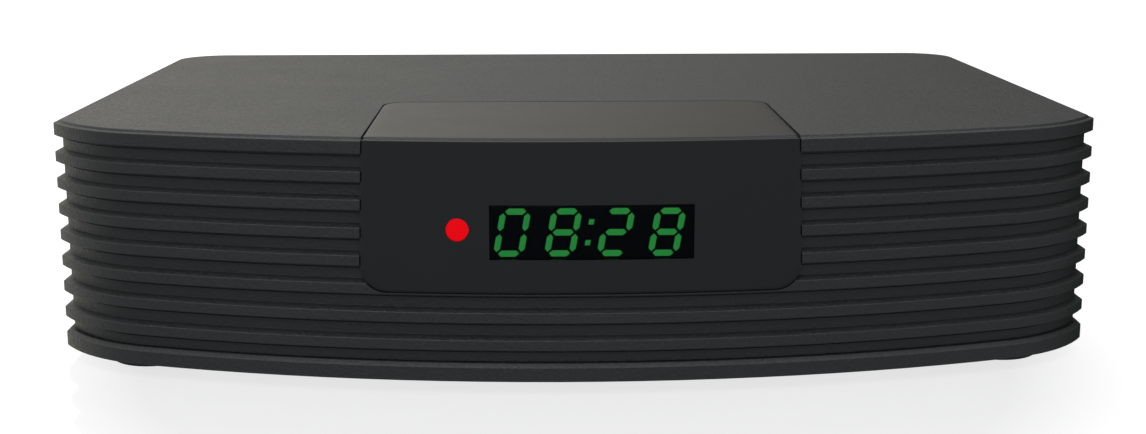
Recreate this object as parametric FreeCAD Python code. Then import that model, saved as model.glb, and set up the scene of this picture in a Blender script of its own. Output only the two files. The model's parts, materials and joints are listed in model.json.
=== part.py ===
import FreeCAD, Part
import math
import os
from FreeCAD import Vector

# Compact satellite television receiver, in millimetres, every piece a solid of its own.
# X runs to the right as the front is looked at, Y runs to the back and Z runs up.
# Sizes are worked out with Y = 0 at the middle of the bowed front and Z = 0 under the casing;
# the finished pieces are then set with the origin under the middle of the whole object.

# Casing outline: a long bow across the front, a shoulder arc, a small corner, straight sides.
body_width = 168.0
body_depth = 122.5
bow_angle = 18.0
shoulder_angle = 58.8
shoulder_radius = 27.2
front_corner_radius = 1.5
back_corner_radius = 10.0

# Casing walls: ribs run all the way round, with even grooves between them.
groove_count = 8
groove_height = 2.11
groove_depth = 1.3
rib_height = 2.17
top_rib_height = 2.47
bottom_rib_height = 2.76
rib_bevel = 0.6
top_bevel = 0.5
wall = 2.0
top_plate = 2.4
floor = 2.0
parting_gap = 0.1
lip_height = 2.6
lip_wall = 1.2
seat_gap = 0.1
least_radius = 0.3

# Front bezel, which sits in a pocket of the front wall and laps over the top.
bezel_width = 67.3
bezel_offset = 0.15
bezel_drop = 23.6
bezel_lean = 0.84
bezel_reach = 42.5
bezel_corner = 4.2
bezel_skin = 2.0
bezel_top_skin = 1.0
bezel_bevel = 0.5
stake_radius = 0.9
stake_inset = 3.2
stake_gap = 0.1

# Display behind its tinted window.
window_width = 30.7
window_height = 8.35
window_centre_x = 1.68
window_drop = 14.1
window_skin = 0.8
window_flange = 0.6
window_flange_depth = 0.6
module_side = 0.55
module_rise = 0.575
module_depth = 6.0
module_gap = 0.25
digit_height = 7.45
digit_width = 4.72
digit_pitch = 7.68
colon_space = 0.28
digit_slant = 10.0
digit_sink = 0.4
digit_shift = 0.3
segment_width = 1.0
segment_gap = 0.14
segment_depth = 0.3
dot_size = 0.85
dot_rise = 1.6

# Round indicator left of the display, and the remote control's eye to its right.
indicator_margin = 4.83
indicator_lift = 0.35
indicator_radius = 1.78
indicator_flange_radius = 2.5
indicator_flange = 0.8
indicator_lamp_size = 2.8
indicator_lamp_depth = 1.6
eye_inset = 7.6
eye_sink = 0.2
eye_width = 5.6
eye_height = 6.6
eye_depth = 2.6
eye_radius = 1.9

# Boards.
board_thickness = 1.6
standoff = 5.0
board_side_gap = 8.5
board_front = 16.0
board_panel_gap = 0.3
front_board_inset = 0.45
front_board_drop = 5.5
front_board_lift = 0.4
guide_width = 5.0
guide_depth = 5.0
guide_height = 18.0
guide_slot = 1.4
guide_gap = 0.15
link_width = 21.0
link_height = 5.0
link_pins = 8
pin_pitch = 2.54
pin_size = 0.6

# Feet, screws and posts.
foot_radius = 6.8
foot_height = 2.0
foot_round = 0.3
foot_inset = 14.5
foot_front_y = 23.2
foot_back_inset = 22.0
foot_recess = 0.5
post_radius = 3.6
post_inset = 12.5
post_clearance = 0.9
post_front_y = 42.0
post_back_inset = 37.0
screw_radius = 1.4
screw_head_radius = 2.7
screw_head_height = 1.8
screw_seat = 1.2
screw_reach = 7.0
thread_gap = 0.05
head_gap = 0.3
board_screw_radius = 1.2
board_screw_head_radius = 2.4
board_screw_head_height = 1.5
board_screw_reach = 4.0
board_hole_inset_x = 5.0
board_hole_front_inset = 14.0
board_hole_back_inset = 42.0
boss_radius = 3.2
drive_radius = 0.95
drive_depth = 0.8

# Rear panel and its sockets, which stand in a row with equal gaps, the switch first.
panel_side_inset = 10.5
panel_thickness = 1.6
panel_margin = 3.5
panel_gap = 0.1
cutout_gap = 0.25
keeper = 1.6
keeper_height = 20.0
vent_slot_width = 1.8
vent_pitch = 4.2
rear_vent_count = 14
rear_vent_length = 6.5
rear_vent_x = -26.0
rear_vent_drop = 4.8
floor_vent_count = 12
floor_vent_length = 34.0

tuner_width = 30.0
tuner_depth = 33.0
tuner_height = 14.0
sheet = 0.4
lid_skirt = 3.0
aerial_spacing = 15.0
aerial_rise = 7.6
aerial_radius = 4.76
aerial_bore = 3.3
aerial_reach = 10.0
aerial_neck_step = 0.3
aerial_run_out = 0.6
aerial_contact_bore = 0.8
aerial_contact_wall = 0.35
nut_flats = 11.2
nut_thickness = 2.2
washer_radius = 6.4
washer_thickness = 0.6

phono_block = 10.0
phono_height = 11.0
phono_depth = 12.0
phono_rise = 5.6
phono_radius = 4.15
phono_wall = 0.55
phono_bore = 1.65
phono_reach = 8.8
phono_neck_step = 0.35
phono_run_out = 0.4

av_width = 7.4
av_height = 7.4
av_depth = 13.0
av_rise = 3.9
av_nose_radius = 3.4
av_bore = 1.8

video_width = 15.0
video_height = 5.8
video_depth = 11.0
video_chamfer = 1.6
video_tongue_width = 11.0
video_tongue = 1.0

data_width = 13.2
data_height = 5.9
data_depth = 14.0
data_tongue_width = 11.0
data_tongue = 1.84
shell_wall = 0.35
socket_proud = 0.6

network_width = 16.0
network_height = 13.4
network_depth = 16.0
network_hole_width = 11.8
network_hole_height = 8.2
network_hole_depth = 12.5
network_hole_rise = 3.2
network_key_width = 6.2
network_key_height = 1.7
network_contact_count = 8
network_contact_pitch = 1.02

power_width = 9.0
power_height = 10.8
power_depth = 14.0
power_rise = 6.2
power_nose_radius = 4.0
power_bore = 3.15
power_bore_depth = 9.5
power_pin_radius = 1.05

# Rocker switch in the rear panel.
switch_rise = 9.5
rocker_half_width = 3.75
rocker_half_length = 5.3
rocker_crown = 2.2
rocker_edge = 1.9
rocker_tilt = 10.0
rocker_foot = 2.4
rocker_foot_half = 1.5
rocker_gap = 0.2
rocker_proud = 0.3
rocker_pin_radius = 1.0
rocker_pin_length = 0.55
rocker_pin_gap = 0.05
switch_wall = 0.8
switch_back = 1.0
switch_flange = 1.0
switch_flange_thickness = 1.5
switch_body_depth = 8.0
terminal_width = 2.0
terminal_thickness = 0.6

# Parts on the main board, placed from its middle in X and from its front edge in Y.
chip_size = 23.0
chip_height = 2.2
chip_x = -8.0
chip_y = 46.0
pad_size = 20.0
pad_thickness = 0.5
sink_size = 24.0
sink_base = 2.0
sink_height = 9.0
fin_count = 7
fin_thickness = 1.2
memory_length = 13.5
memory_width = 8.0
memory_height = 1.2
flash_length = 8.0
flash_width = 5.4
flash_height = 1.7
crystal_length = 11.4
crystal_width = 4.6
crystal_height = 3.6
coil_size = 7.0
coil_space = 4.5
coil_height = 4.2
coil_round = 1.2
can_radius = 4.0
can_inset = 15.0
can_height = 11.0
small_can_radius = 3.15
small_can_height = 7.2
regulator_length = 6.5
regulator_width = 3.5
regulator_height = 1.7
regulator_gap = 0.5
ceramic_length = 1.8
ceramic_width = 1.0
ceramic_height = 0.9

# Places worked out from the sizes above.
half_width = body_width / 2
body_height = (top_rib_height + bottom_rib_height + groove_count * groove_height
               + (groove_count - 1) * rib_height)
rib_pitch = groove_height + rib_height
side_inset = groove_depth + wall
shoulder_turn = math.sin(math.radians(shoulder_angle))
bow_turn = math.sin(math.radians(bow_angle))
bow_radius = shoulder_radius + (
    half_width - front_corner_radius
    - (shoulder_radius - front_corner_radius) * shoulder_turn) / bow_turn
ceiling = body_height - top_plate
bezel_bottom = body_height - bezel_drop
window_z = body_height - window_drop
digit_z = window_z - digit_sink
digit_centre_x = window_centre_x - digit_shift
indicator_x = window_centre_x - window_width / 2 - indicator_margin
indicator_z = window_z + indicator_lift
eye_x = bezel_offset + bezel_width / 2 - eye_inset
eye_z = window_z - eye_sink
module_width = window_width + 2 * module_side
module_height = window_height + 2 * module_rise
module_front = (bow_radius - math.sqrt(bow_radius ** 2 - (abs(window_centre_x) + window_width / 2) ** 2)
                + window_skin + window_flange_depth + seat_gap)
front_board_y = module_front + module_depth
board_z = floor + standoff
board_top = board_z + board_thickness
panel_outer = body_depth - side_inset - panel_gap
panel_inner = panel_outer - panel_thickness
board_back = panel_inner - board_panel_gap
lip_inset = side_inset + seat_gap
aerial_z = board_top + aerial_rise
aerial_end = panel_outer + aerial_reach
post_x = half_width - post_inset
post_back_y = body_depth - post_back_inset
foot_back_y = body_depth - foot_back_inset
foot_x = half_width - foot_inset
panel_width = body_width - 2 * panel_side_inset
board_width = panel_width - 2 * board_side_gap
front_board_width = bezel_width - 2 * front_board_inset
front_board_height = ceiling - floor - front_board_lift - front_board_drop
can_x = can_inset - board_width / 2
coil_x = can_x + can_radius + coil_space + coil_size / 2
switch_z = board_top + switch_rise
overall_depth = aerial_end
parting = bottom_rib_height + parting_gap

# Half sizes of the rocker switch, and the row of sockets from left to right along X.
rocker_end = rocker_crown + rocker_half_length * math.tan(math.radians(rocker_tilt))
swept_half_length = (rocker_half_length * math.cos(math.radians(rocker_tilt))
                     + rocker_end * math.sin(math.radians(rocker_tilt)))
switch_half_width = rocker_half_width + rocker_gap + switch_wall
switch_half_length = swept_half_length + rocker_gap + switch_wall
row_widths = (2 * (switch_half_width + switch_flange), power_width, network_width, data_width,
              video_width, av_width, phono_block, tuner_width + 2 * (sheet + thread_gap))
row_reach = post_x - post_radius - post_clearance
row_gap = (2 * row_reach - sum(row_widths)) / (len(row_widths) - 1)
row_middles = [sum(row_widths[:place]) + place * row_gap + width / 2 - row_reach
               for place, width in enumerate(row_widths)]
switch_x, power_x, network_x, data_x, video_x, av_x, phono_x, tuner_x = row_middles


def box(x0, x1, y0, y1, z0, z1):
    """Block between two corners."""
    return Part.makeBox(x1 - x0, y1 - y0, z1 - z0, Vector(x0, y0, z0))


def block_on(z, x, y, length, width, height):
    """Block centred on x and y that stands on the height z."""
    return box(x - length / 2, x + length / 2, y - width / 2, y + width / 2, z, z + height)


def rod_y(x, z, radius, y0, y1):
    """Round rod along Y."""
    return Part.makeCylinder(radius, y1 - y0, Vector(x, y0, z), Vector(0, 1, 0))


def rod_z(x, y, radius, z0, z1):
    """Round rod along Z."""
    return Part.makeCylinder(radius, z1 - z0, Vector(x, y, z0), Vector(0, 0, 1))


def rod_x(y, z, radius, x0, x1):
    """Round rod along X."""
    return Part.makeCylinder(radius, x1 - x0, Vector(x0, y, z), Vector(1, 0, 0))


def slab_yz(points, x0, x1):
    """Solid with the outline of (y, z) points, between two places in X."""
    corners = [Vector(x0, y, z) for y, z in points]
    return Part.Face(Part.makePolygon(corners + corners[:1])).extrude(Vector(x1 - x0, 0, 0))


def slab_xz(points, y0, y1):
    """Solid with the outline of (x, z) points, between two places in Y."""
    corners = [Vector(x, y0, z) for x, z in points]
    return Part.Face(Part.makePolygon(corners + corners[:1])).extrude(Vector(0, y1 - y0, 0))


def edges_at_height(shape, z):
    """Edges that lie flat at the height z."""
    near = 1e-4
    return [e for e in shape.Edges if abs(e.BoundBox.ZMin - z) < near and abs(e.BoundBox.ZMax - z) < near]


def outline_point(centre, radius, angle, z):
    """Point on an arc, its angle in radians from the front towards the right."""
    return Vector(centre[0] + radius * math.sin(angle), centre[1] - radius * math.cos(angle), z)


def outline_arc(centre, radius, start, end, z):
    """Arc of the outline between two angles."""
    ends = [outline_point(centre, radius, a, z) for a in (start, (start + end) / 2, end)]
    return Part.Arc(*ends).toShape()


def outline(inset, z):
    """Closed outline of the casing, moved in by inset, at the height z."""
    turn = math.radians(bow_angle)
    bow_centre = (0.0, bow_radius)
    shoulder_x = (bow_radius - shoulder_radius) * math.sin(turn)
    shoulder_y = bow_radius - (bow_radius - shoulder_radius) * math.cos(turn)
    shoulder = shoulder_radius - inset
    corner = max(front_corner_radius - inset, least_radius)
    back = max(back_corner_radius - inset, least_radius)
    side = half_width - inset
    rear = body_depth - inset
    meet = math.asin((side - corner - shoulder_x) / (shoulder - corner))
    corner_x = side - corner
    corner_y = shoulder_y - (shoulder - corner) * math.cos(meet)
    quarter = math.pi / 2
    edges = [outline_arc(bow_centre, bow_radius - inset, -turn, turn, z)]
    for way in (1, -1):
        edges.append(outline_arc((way * shoulder_x, shoulder_y), shoulder, way * turn, way * meet, z))
        edges.append(outline_arc((way * corner_x, corner_y), corner, way * meet, way * quarter, z))
        edges.append(Part.makeLine(Vector(way * side, corner_y, z), Vector(way * side, rear - back, z)))
        edges.append(outline_arc((way * (side - back), rear - back), back, way * quarter, way * 2 * quarter, z))
    edges.append(Part.makeLine(Vector(side - back, rear, z), Vector(back - side, rear, z)))
    return Part.Wire(Part.__sortEdges__(edges))


def casing_block(inset, z0, z1):
    """Solid block with the casing's outline moved in by inset."""
    return Part.Face(outline(inset, z0)).extrude(Vector(0, 0, z1 - z0))


def bevelled_block(z0, z1, bevel):
    """Full size casing block whose upper edge is bevelled."""
    block = casing_block(0.0, z0, z1)
    return block.makeChamfer(bevel, edges_at_height(block, z1))


def rib_bottom(number):
    """Lower edge of a rib, counted down from the top rib, which is number 0."""
    return body_height - top_rib_height - number * rib_pitch


def bezel_cutter(grow, skin, top_skin):
    """Space that the bezel fills, larger by grow at its edges and with the skins given.

    Its sides lean in by bezel_lean from its lower edge up to the top plate.
    """
    left = bezel_offset - bezel_width / 2 - grow
    right = bezel_offset + bezel_width / 2 + grow
    above = body_height + 1.0
    before = -1.0
    low = bezel_bottom - grow
    drawn = bezel_lean * (above - low) / bezel_drop
    front = slab_xz([(left, low), (right, low), (right - drawn, above), (left + drawn, above)],
                    before, board_front)
    low_edges = [e for e in front.Edges
                 if abs(e.BoundBox.ZMax - (bezel_bottom - grow)) < 1e-4 and e.BoundBox.YLength > 1.0]
    front = front.makeFillet(bezel_corner, low_edges)
    front = front.cut(casing_block(skin, 0.0, above))
    top = box(left + bezel_lean, right - bezel_lean, before, bezel_reach + grow, body_height - top_skin, above)
    back_edges = [e for e in top.Edges
                  if abs(e.BoundBox.YMin - (bezel_reach + grow)) < 1e-4 and e.BoundBox.ZLength > 0.5]
    return front.fuse(top.makeFillet(bezel_corner, back_edges))


def window_box(grow, y0, y1):
    """Block through the front wall at the display window."""
    return box(window_centre_x - window_width / 2 - grow, window_centre_x + window_width / 2 + grow,
               y0, y1, window_z - window_height / 2 - grow, window_z + window_height / 2 + grow)


def stake_places():
    """Places in X and Z of the four stakes behind the bezel."""
    reach = bezel_width / 2 - stake_inset
    low = bezel_bottom + bezel_corner
    high = ceiling - stake_inset
    return [(bezel_offset + way * reach, z) for way in (-1, 1) for z in (low, high)]


def front_face_y(x):
    """Place in Y of the bowed front at x."""
    return bow_radius - math.sqrt(bow_radius ** 2 - x ** 2)


def post_places():
    """Places in X and Y of the posts that the case screws pull on."""
    return [(way * post_x, y) for way in (-1, 1) for y in (post_front_y, post_back_y)]


def board_hole_places():
    """Places in X and Y of the main board's screws."""
    reach = board_width / 2 - board_hole_inset_x
    return [(way * reach, y) for way in (-1, 1)
            for y in (board_front + board_hole_front_inset, board_back - board_hole_back_inset)]


def foot_places():
    """Name, X and Y of each foot."""
    sides = (("left", -foot_x), ("right", foot_x))
    ends = (("front", foot_front_y), ("back", foot_back_y))
    return [(f"foot_{end}_{side}", x, y) for end, y in ends for side, x in sides]


def sockets_through_panel():
    """Openings that the rear panel needs for the sockets behind it."""
    y0, y1 = panel_inner - 1.0, panel_outer + 1.0
    holes = []
    for x in aerial_places():
        holes.append(rod_y(x, aerial_z, aerial_radius + cutout_gap, y0, y1))
    holes.append(rod_y(phono_x, board_top + phono_rise, phono_radius + cutout_gap, y0, y1))
    holes.append(rod_y(av_x, board_top + av_rise, av_nose_radius + cutout_gap, y0, y1))
    holes.append(rod_y(power_x, board_top + power_rise, power_nose_radius + cutout_gap, y0, y1))
    for x, width, height in ((video_x, video_width, video_height), (data_x, data_width, data_height),
                             (network_x, network_width, network_height)):
        holes.append(box(x - width / 2 - cutout_gap, x + width / 2 + cutout_gap, y0, y1,
                         board_top - cutout_gap, board_top + height + cutout_gap))
    half_x = switch_half_width + cutout_gap
    half_z = switch_half_length + cutout_gap
    holes.append(box(switch_x - half_x, switch_x + half_x, y0, y1, switch_z - half_z, switch_z + half_z))
    return holes


def aerial_places():
    """Places in X of the two aerial sockets."""
    return [tuner_x - aerial_spacing / 2, tuner_x + aerial_spacing / 2]


def make_top_cover():
    """Upper shell: top plate and ribbed walls, with the bezel's pocket and the screw posts."""
    shell = casing_block(groove_depth, parting, body_height - top_rib_height / 2)
    ribs = [bevelled_block(rib_bottom(0), body_height, top_bevel)]
    for number in range(1, groove_count):
        ribs.append(bevelled_block(rib_bottom(number), rib_bottom(number) + rib_height, rib_bevel))
    shell = shell.multiFuse(ribs)
    shell = shell.cut(casing_block(side_inset, 0.0, ceiling))
    shell = shell.cut(bezel_cutter(seat_gap, bezel_skin + seat_gap, bezel_top_skin + seat_gap))
    back = body_depth
    opening = panel_width / 2 - panel_margin
    shell = shell.cut(box(-opening, opening, back - side_inset - 1.0, back + 1.0,
                          0.0, ceiling - panel_margin))
    additions = []
    for x, y in post_places():
        additions.append(rod_z(x, y, post_radius, parting + lip_height, ceiling + 0.5))
    for way in (-1, 1):
        edge = way * panel_width / 2
        inner = edge - way * 2 * keeper
        y1 = panel_inner - panel_gap
        additions.append(box(min(edge, inner), max(edge, inner), y1 - keeper, y1,
                             ceiling - keeper_height, ceiling + 0.5))
    shell = shell.multiFuse(additions)
    cuts = [rod_z(x, y, screw_radius + thread_gap, parting, parting + lip_height + screw_reach + 1.0)
            for x, y in post_places()]
    through = board_front
    margin = module_gap
    cuts.append(box(window_centre_x - module_width / 2 - margin, window_centre_x + module_width / 2 + margin,
                    0.5, through, window_z - module_height / 2 - margin,
                    window_z + module_height / 2 + margin))
    cuts.append(rod_y(indicator_x, indicator_z, indicator_flange_radius + margin, 0.5, through))
    cuts.append(rod_y(eye_x, eye_z, eye_radius + 2 * margin, 0.5, through))
    for x, z in stake_places():
        cuts.append(rod_y(x, z, stake_radius + stake_gap, 0.5, through))
    for cutter in cuts:
        shell = shell.cut(cutter)
    return shell.removeSplitter()


def make_base_tray():
    """Lower shell: floor, lowest rib, locating lip, bosses, board guides and air slots."""
    tray = bevelled_block(0.0, bottom_rib_height, rib_bevel)
    tray = tray.fuse(casing_block(lip_inset, 0.0, bottom_rib_height + lip_height))
    tray = tray.cut(casing_block(lip_inset + lip_wall, floor, bottom_rib_height + lip_height + 1.0))
    slot_x = panel_width / 2 + panel_gap
    tray = tray.cut(box(-slot_x, slot_x, panel_inner - 2.0, panel_outer + panel_gap, floor,
                        body_height))
    additions = []
    for x, y in board_hole_places():
        additions.append(rod_z(x, y, boss_radius, floor - 0.5, board_z))
    for x, y in post_places():
        additions.append(rod_z(x, y, post_radius, floor - 0.5, parting + lip_height - parting_gap))
    for way in (-1, 1):
        edge = way * (front_board_width / 2 - guide_slot)
        outer = edge + way * guide_width
        y0 = front_board_y + board_thickness / 2 - guide_depth / 2
        additions.append(box(min(edge, outer), max(edge, outer), y0, y0 + guide_depth,
                             floor - 0.5, floor + guide_height))
    additions.append(box(-panel_width / 2, panel_width / 2, panel_inner - panel_gap - keeper,
                         panel_inner - panel_gap, floor - 0.5, floor + keeper))
    tray = tray.multiFuse(additions)
    half = front_board_width / 2 + guide_gap
    cuts = [box(-half, half, front_board_y - guide_gap, front_board_y + board_thickness + guide_gap,
                floor, floor + guide_height + 1.0)]
    for x, y in board_hole_places():
        cuts.append(rod_z(x, y, board_screw_radius + thread_gap, floor, board_z + 1.0))
    for x, y in post_places():
        cuts.append(rod_z(x, y, screw_head_radius + head_gap, -1.0, screw_head_height + screw_seat))
        cuts.append(rod_z(x, y, screw_radius + head_gap, 0.0, parting + lip_height + 1.0))
    for name, x, y in foot_places():
        cuts.append(rod_z(x, y, foot_radius + seat_gap, -1.0, foot_recess))
    for way in (-1, 1):
        for number in range(floor_vent_count):
            x = way * (floor_vent_length / 2 + 4.0)
            y = post_front_y + number * vent_pitch
            cuts.append(block_on(-1.0, x, y, floor_vent_length, vent_slot_width, floor + 2.0))
    for cutter in cuts:
        tray = tray.cut(cutter)
    return tray.removeSplitter()


def make_front_bezel():
    """Smooth bezel: front skin and the tongue that laps over the top, with its stakes."""
    envelope = bevelled_block(0.0, body_height, top_bevel)
    skin = envelope.common(bezel_cutter(0.0, bezel_skin, bezel_top_skin)).removeSplitter()
    skin = skin.makeChamfer(bezel_bevel, [e for e in skin.Edges if is_bezel_side_edge(e)])
    stakes = []
    for x, z in stake_places():
        back = front_face_y(x) + bezel_skin
        stakes.append(rod_y(x, z, stake_radius, back - wall / 2, back + wall))
    skin = skin.multiFuse(stakes)
    behind = casing_block(window_skin, 0.0, body_height)
    cuts = [window_box(0.0, -1.0, board_front),
            window_box(window_flange + seat_gap, -1.0, board_front).common(behind),
            rod_y(indicator_x, indicator_z, indicator_radius + seat_gap / 2, -1.0, board_front)]
    for cutter in cuts:
        skin = skin.cut(cutter)
    return skin.removeSplitter()


def is_bezel_side_edge(edge):
    """True for the nearly upright edges of the bezel's front face."""
    bounds = edge.BoundBox
    upright = bounds.XLength < 2 * bezel_lean and bounds.ZLength > bezel_drop / 2
    return upright and bounds.YMin < front_face_y(bezel_width / 2 + abs(bezel_offset)) + bezel_bevel


def make_display_window():
    """Tinted window: a flush front pane and a wider flange behind the bezel's skin."""
    envelope = casing_block(0.0, 0.0, body_height)
    pane = envelope.common(window_box(-seat_gap / 2, -1.0, board_front))
    pane = pane.cut(casing_block(window_skin + seat_gap, 0.0, body_height))
    flange = casing_block(window_skin + seat_gap / 2, 0.0, body_height).cut(
        casing_block(window_skin + window_flange_depth, 0.0, body_height))
    flange = flange.common(window_box(window_flange, -1.0, board_front))
    return pane.fuse(flange).removeSplitter()


def segment_bar(x0, z0, x1, z1, upright):
    """Bar with pointed ends between two points of a digit's centre lines."""
    half = segment_width / 2
    if upright:
        low, high = z0 + segment_gap, z1 - segment_gap
        return [(x0, low), (x0 + half, low + half), (x0 + half, high - half), (x0, high),
                (x0 - half, high - half), (x0 - half, low + half)]
    low, high = x0 + segment_gap, x1 - segment_gap
    return [(low, z0), (low + half, z0 - half), (high - half, z0 - half), (high, z0),
            (high - half, z0 + half), (low + half, z0 + half)]


def digit_outlines():
    """Outlines of the seven bars of a digit about its middle, by their usual letters."""
    x = (digit_width - segment_width) / 2
    z = (digit_height - segment_width) / 2
    bars = {"a": (-x, z, x, z, False), "b": (x, 0, x, z, True), "c": (x, -z, x, 0, True),
            "d": (-x, -z, x, -z, False), "e": (-x, -z, -x, 0, True), "f": (-x, 0, -x, z, True),
            "g": (-x, 0, x, 0, False)}
    return {name: segment_bar(*bar) for name, bar in bars.items()}


def digit_centres():
    """Middle of each of the four digits in X, with the colon's space in the middle."""
    first = digit_centre_x - 1.5 * digit_pitch - colon_space / 2
    return [first + number * digit_pitch + (colon_space if number > 1 else 0.0) for number in range(4)]


def slanted(points, centre_x):
    """Outline of a bar on the display, leaning to the right and moved to its digit."""
    lean = math.tan(math.radians(digit_slant))
    return [(centre_x + x + z * lean, digit_z + z) for x, z in points]


def segment_solids(lit):
    """Bars that are lit, or those that are dark, while the clock shows 08:28."""
    shown = ("abcdef", "abcdefg", "abdeg", "abcdefg")
    y0, y1 = module_front, module_front + segment_depth
    solids = []
    for centre_x, letters in zip(digit_centres(), shown):
        for name, points in digit_outlines().items():
            if (name in letters) == lit:
                solids.append(slab_xz(slanted(points, centre_x), y0, y1))
    half = dot_size / 2
    for way in (-1, 1) if lit else ():
        z = way * dot_rise
        dot = [(-half, z - half), (half, z - half), (half, z + half), (-half, z + half)]
        solids.append(slab_xz(slanted(dot, digit_centre_x), y0, y1))
    return solids


def make_display_module():
    """Body of the display, with a shallow seat for every bar and dot."""
    body = box(window_centre_x - module_width / 2, window_centre_x + module_width / 2,
               module_front, front_board_y, window_z - module_height / 2, window_z + module_height / 2)
    for solid in segment_solids(True) + segment_solids(False):
        body = body.cut(solid)
    return body


def make_indicator_lens():
    """Round lens, flush with the bezel, with a wider light guide behind it."""
    shoulder = front_face_y(abs(indicator_x) + indicator_flange_radius) + bezel_skin + seat_gap
    end = front_board_y - indicator_lamp_depth - seat_gap
    lens = rod_y(indicator_x, indicator_z, indicator_radius, -1.0, shoulder + indicator_flange)
    lens = lens.common(casing_block(0.0, 0.0, body_height))
    guide = rod_y(indicator_x, indicator_z, indicator_flange_radius, shoulder, end)
    return lens.fuse(guide).removeSplitter()


def make_indicator_lamp():
    """Small lamp on the front board behind the lens."""
    half = indicator_lamp_size / 2
    return box(indicator_x - half, indicator_x + half, front_board_y - indicator_lamp_depth, front_board_y,
               indicator_z - half, indicator_z + half)


def make_remote_eye():
    """Receiver of the remote control: a block with a round dome that looks to the front."""
    block = box(eye_x - eye_width / 2, eye_x + eye_width / 2, front_board_y - eye_depth, front_board_y,
                eye_z - eye_height / 2, eye_z + eye_height / 2)
    dome = Part.makeSphere(eye_radius, Vector(eye_x, front_board_y - eye_depth, eye_z))
    return block.fuse(dome).removeSplitter()


def make_front_board():
    """Upright board that carries the display, the lamp and the eye."""
    z0 = floor + front_board_lift
    board = box(-front_board_width / 2, front_board_width / 2, front_board_y,
                front_board_y + board_thickness, z0, z0 + front_board_height)
    for x in pin_places():
        board = board.cut(rod_y(x, link_z(), pin_size, front_board_y - 1.0, front_board_y + 3.0))
    return board


def pin_places():
    """Places in X of the pins between the two boards."""
    return [(number - (link_pins - 1) / 2) * pin_pitch for number in range(link_pins)]


def link_z():
    """Height of the pins between the two boards."""
    return board_top + link_height / 2


def make_link_header():
    """Housing that stands on the main board and meets the front board's back."""
    return box(-link_width / 2, link_width / 2, front_board_y + board_thickness + seat_gap,
               board_front + link_height, board_top, board_top + link_height)


def make_link_pins():
    """Pins through the front board into the link housing."""
    half = pin_size / 2
    y0 = front_board_y - half
    y1 = front_board_y + board_thickness + link_height
    return [box(x - half, x + half, y0, y1, link_z() - half, link_z() + half) for x in pin_places()]


def with_pin_seats(housing):
    """Link housing with a seat for each pin."""
    for pin in make_link_pins():
        housing = housing.cut(pin)
    return housing


def make_main_board():
    """Main board on its bosses, with holes for its screws."""
    board = box(-board_width / 2, board_width / 2, board_front, board_back, board_z, board_top)
    for x, y in board_hole_places():
        board = board.cut(rod_z(x, y, board_screw_radius + head_gap, board_z - 1.0, board_top + 1.0))
    return board


def screw_up(x, y, seat, head_radius, head_height, radius, reach):
    """Screw that goes up from its seat, with its head below and a cross-shaped drive."""
    screw = rod_z(x, y, head_radius, seat - head_height, seat).fuse(rod_z(x, y, radius, seat, seat + reach))
    return screw.cut(cross_drive(x, y, seat - head_height, seat - head_height + drive_depth)).removeSplitter()


def screw_down(x, y, seat, head_radius, head_height, radius, reach):
    """Screw that goes down from its seat, with its head above and a cross-shaped drive."""
    screw = rod_z(x, y, head_radius, seat, seat + head_height).fuse(rod_z(x, y, radius, seat - reach, seat))
    return screw.cut(cross_drive(x, y, seat + head_height - drive_depth, seat + head_height)).removeSplitter()


def cross_drive(x, y, z0, z1):
    """Cross-shaped recess of a screw's drive."""
    arm = drive_radius / 4
    along = box(x - drive_radius, x + drive_radius, y - arm, y + arm, z0, z1)
    across = box(x - arm, x + arm, y - drive_radius, y + drive_radius, z0, z1)
    return along.fuse(across)


def make_case_screws():
    """Screws from below through the tray into the cover's posts."""
    seat = screw_head_height + screw_seat
    return [screw_up(x, y, seat, screw_head_radius, screw_head_height, screw_radius, screw_reach)
            for x, y in post_places()]


def make_board_screws():
    """Screws that hold the main board on its bosses."""
    reach = board_thickness + board_screw_reach
    return [screw_down(x, y, board_top, board_screw_head_radius, board_screw_head_height,
                       board_screw_radius, reach) for x, y in board_hole_places()]


def make_foot(x, y):
    """Round rubber foot in its recess, with a rounded lower edge."""
    foot = rod_z(x, y, foot_radius, -foot_height, foot_recess)
    return foot.makeFillet(foot_round, edges_at_height(foot, -foot_height))


def make_rear_panel():
    """Plate with the openings of the sockets and a row of air slots above them."""
    panel = box(-panel_width / 2, panel_width / 2, panel_inner, panel_outer,
                floor + panel_gap, ceiling - panel_gap)
    for hole in sockets_through_panel():
        panel = panel.cut(hole)
    for number in range(rear_vent_count):
        x = rear_vent_x + (number - (rear_vent_count - 1) / 2) * vent_pitch
        z = ceiling - rear_vent_drop - rear_vent_length
        panel = panel.cut(box(x - vent_slot_width / 2, x + vent_slot_width / 2,
                              panel_inner - 1.0, panel_outer + 1.0, z, z + rear_vent_length))
    return panel


def make_tuner_frame():
    """Screening frame of the tuner: four walls of sheet metal."""
    y0 = board_back - tuner_depth
    outer = box(tuner_x - tuner_width / 2, tuner_x + tuner_width / 2, y0, board_back,
                board_top, board_top + tuner_height - sheet)
    inner = box(tuner_x - tuner_width / 2 + sheet, tuner_x + tuner_width / 2 - sheet, y0 + sheet,
                board_back - sheet, board_top - 1.0, board_top + tuner_height)
    frame = outer.cut(inner)
    for x in aerial_places():
        frame = frame.cut(rod_y(x, aerial_z, aerial_contact_bore + 1.0, board_back - 1.0, board_back + 1.0))
    return frame


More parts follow.
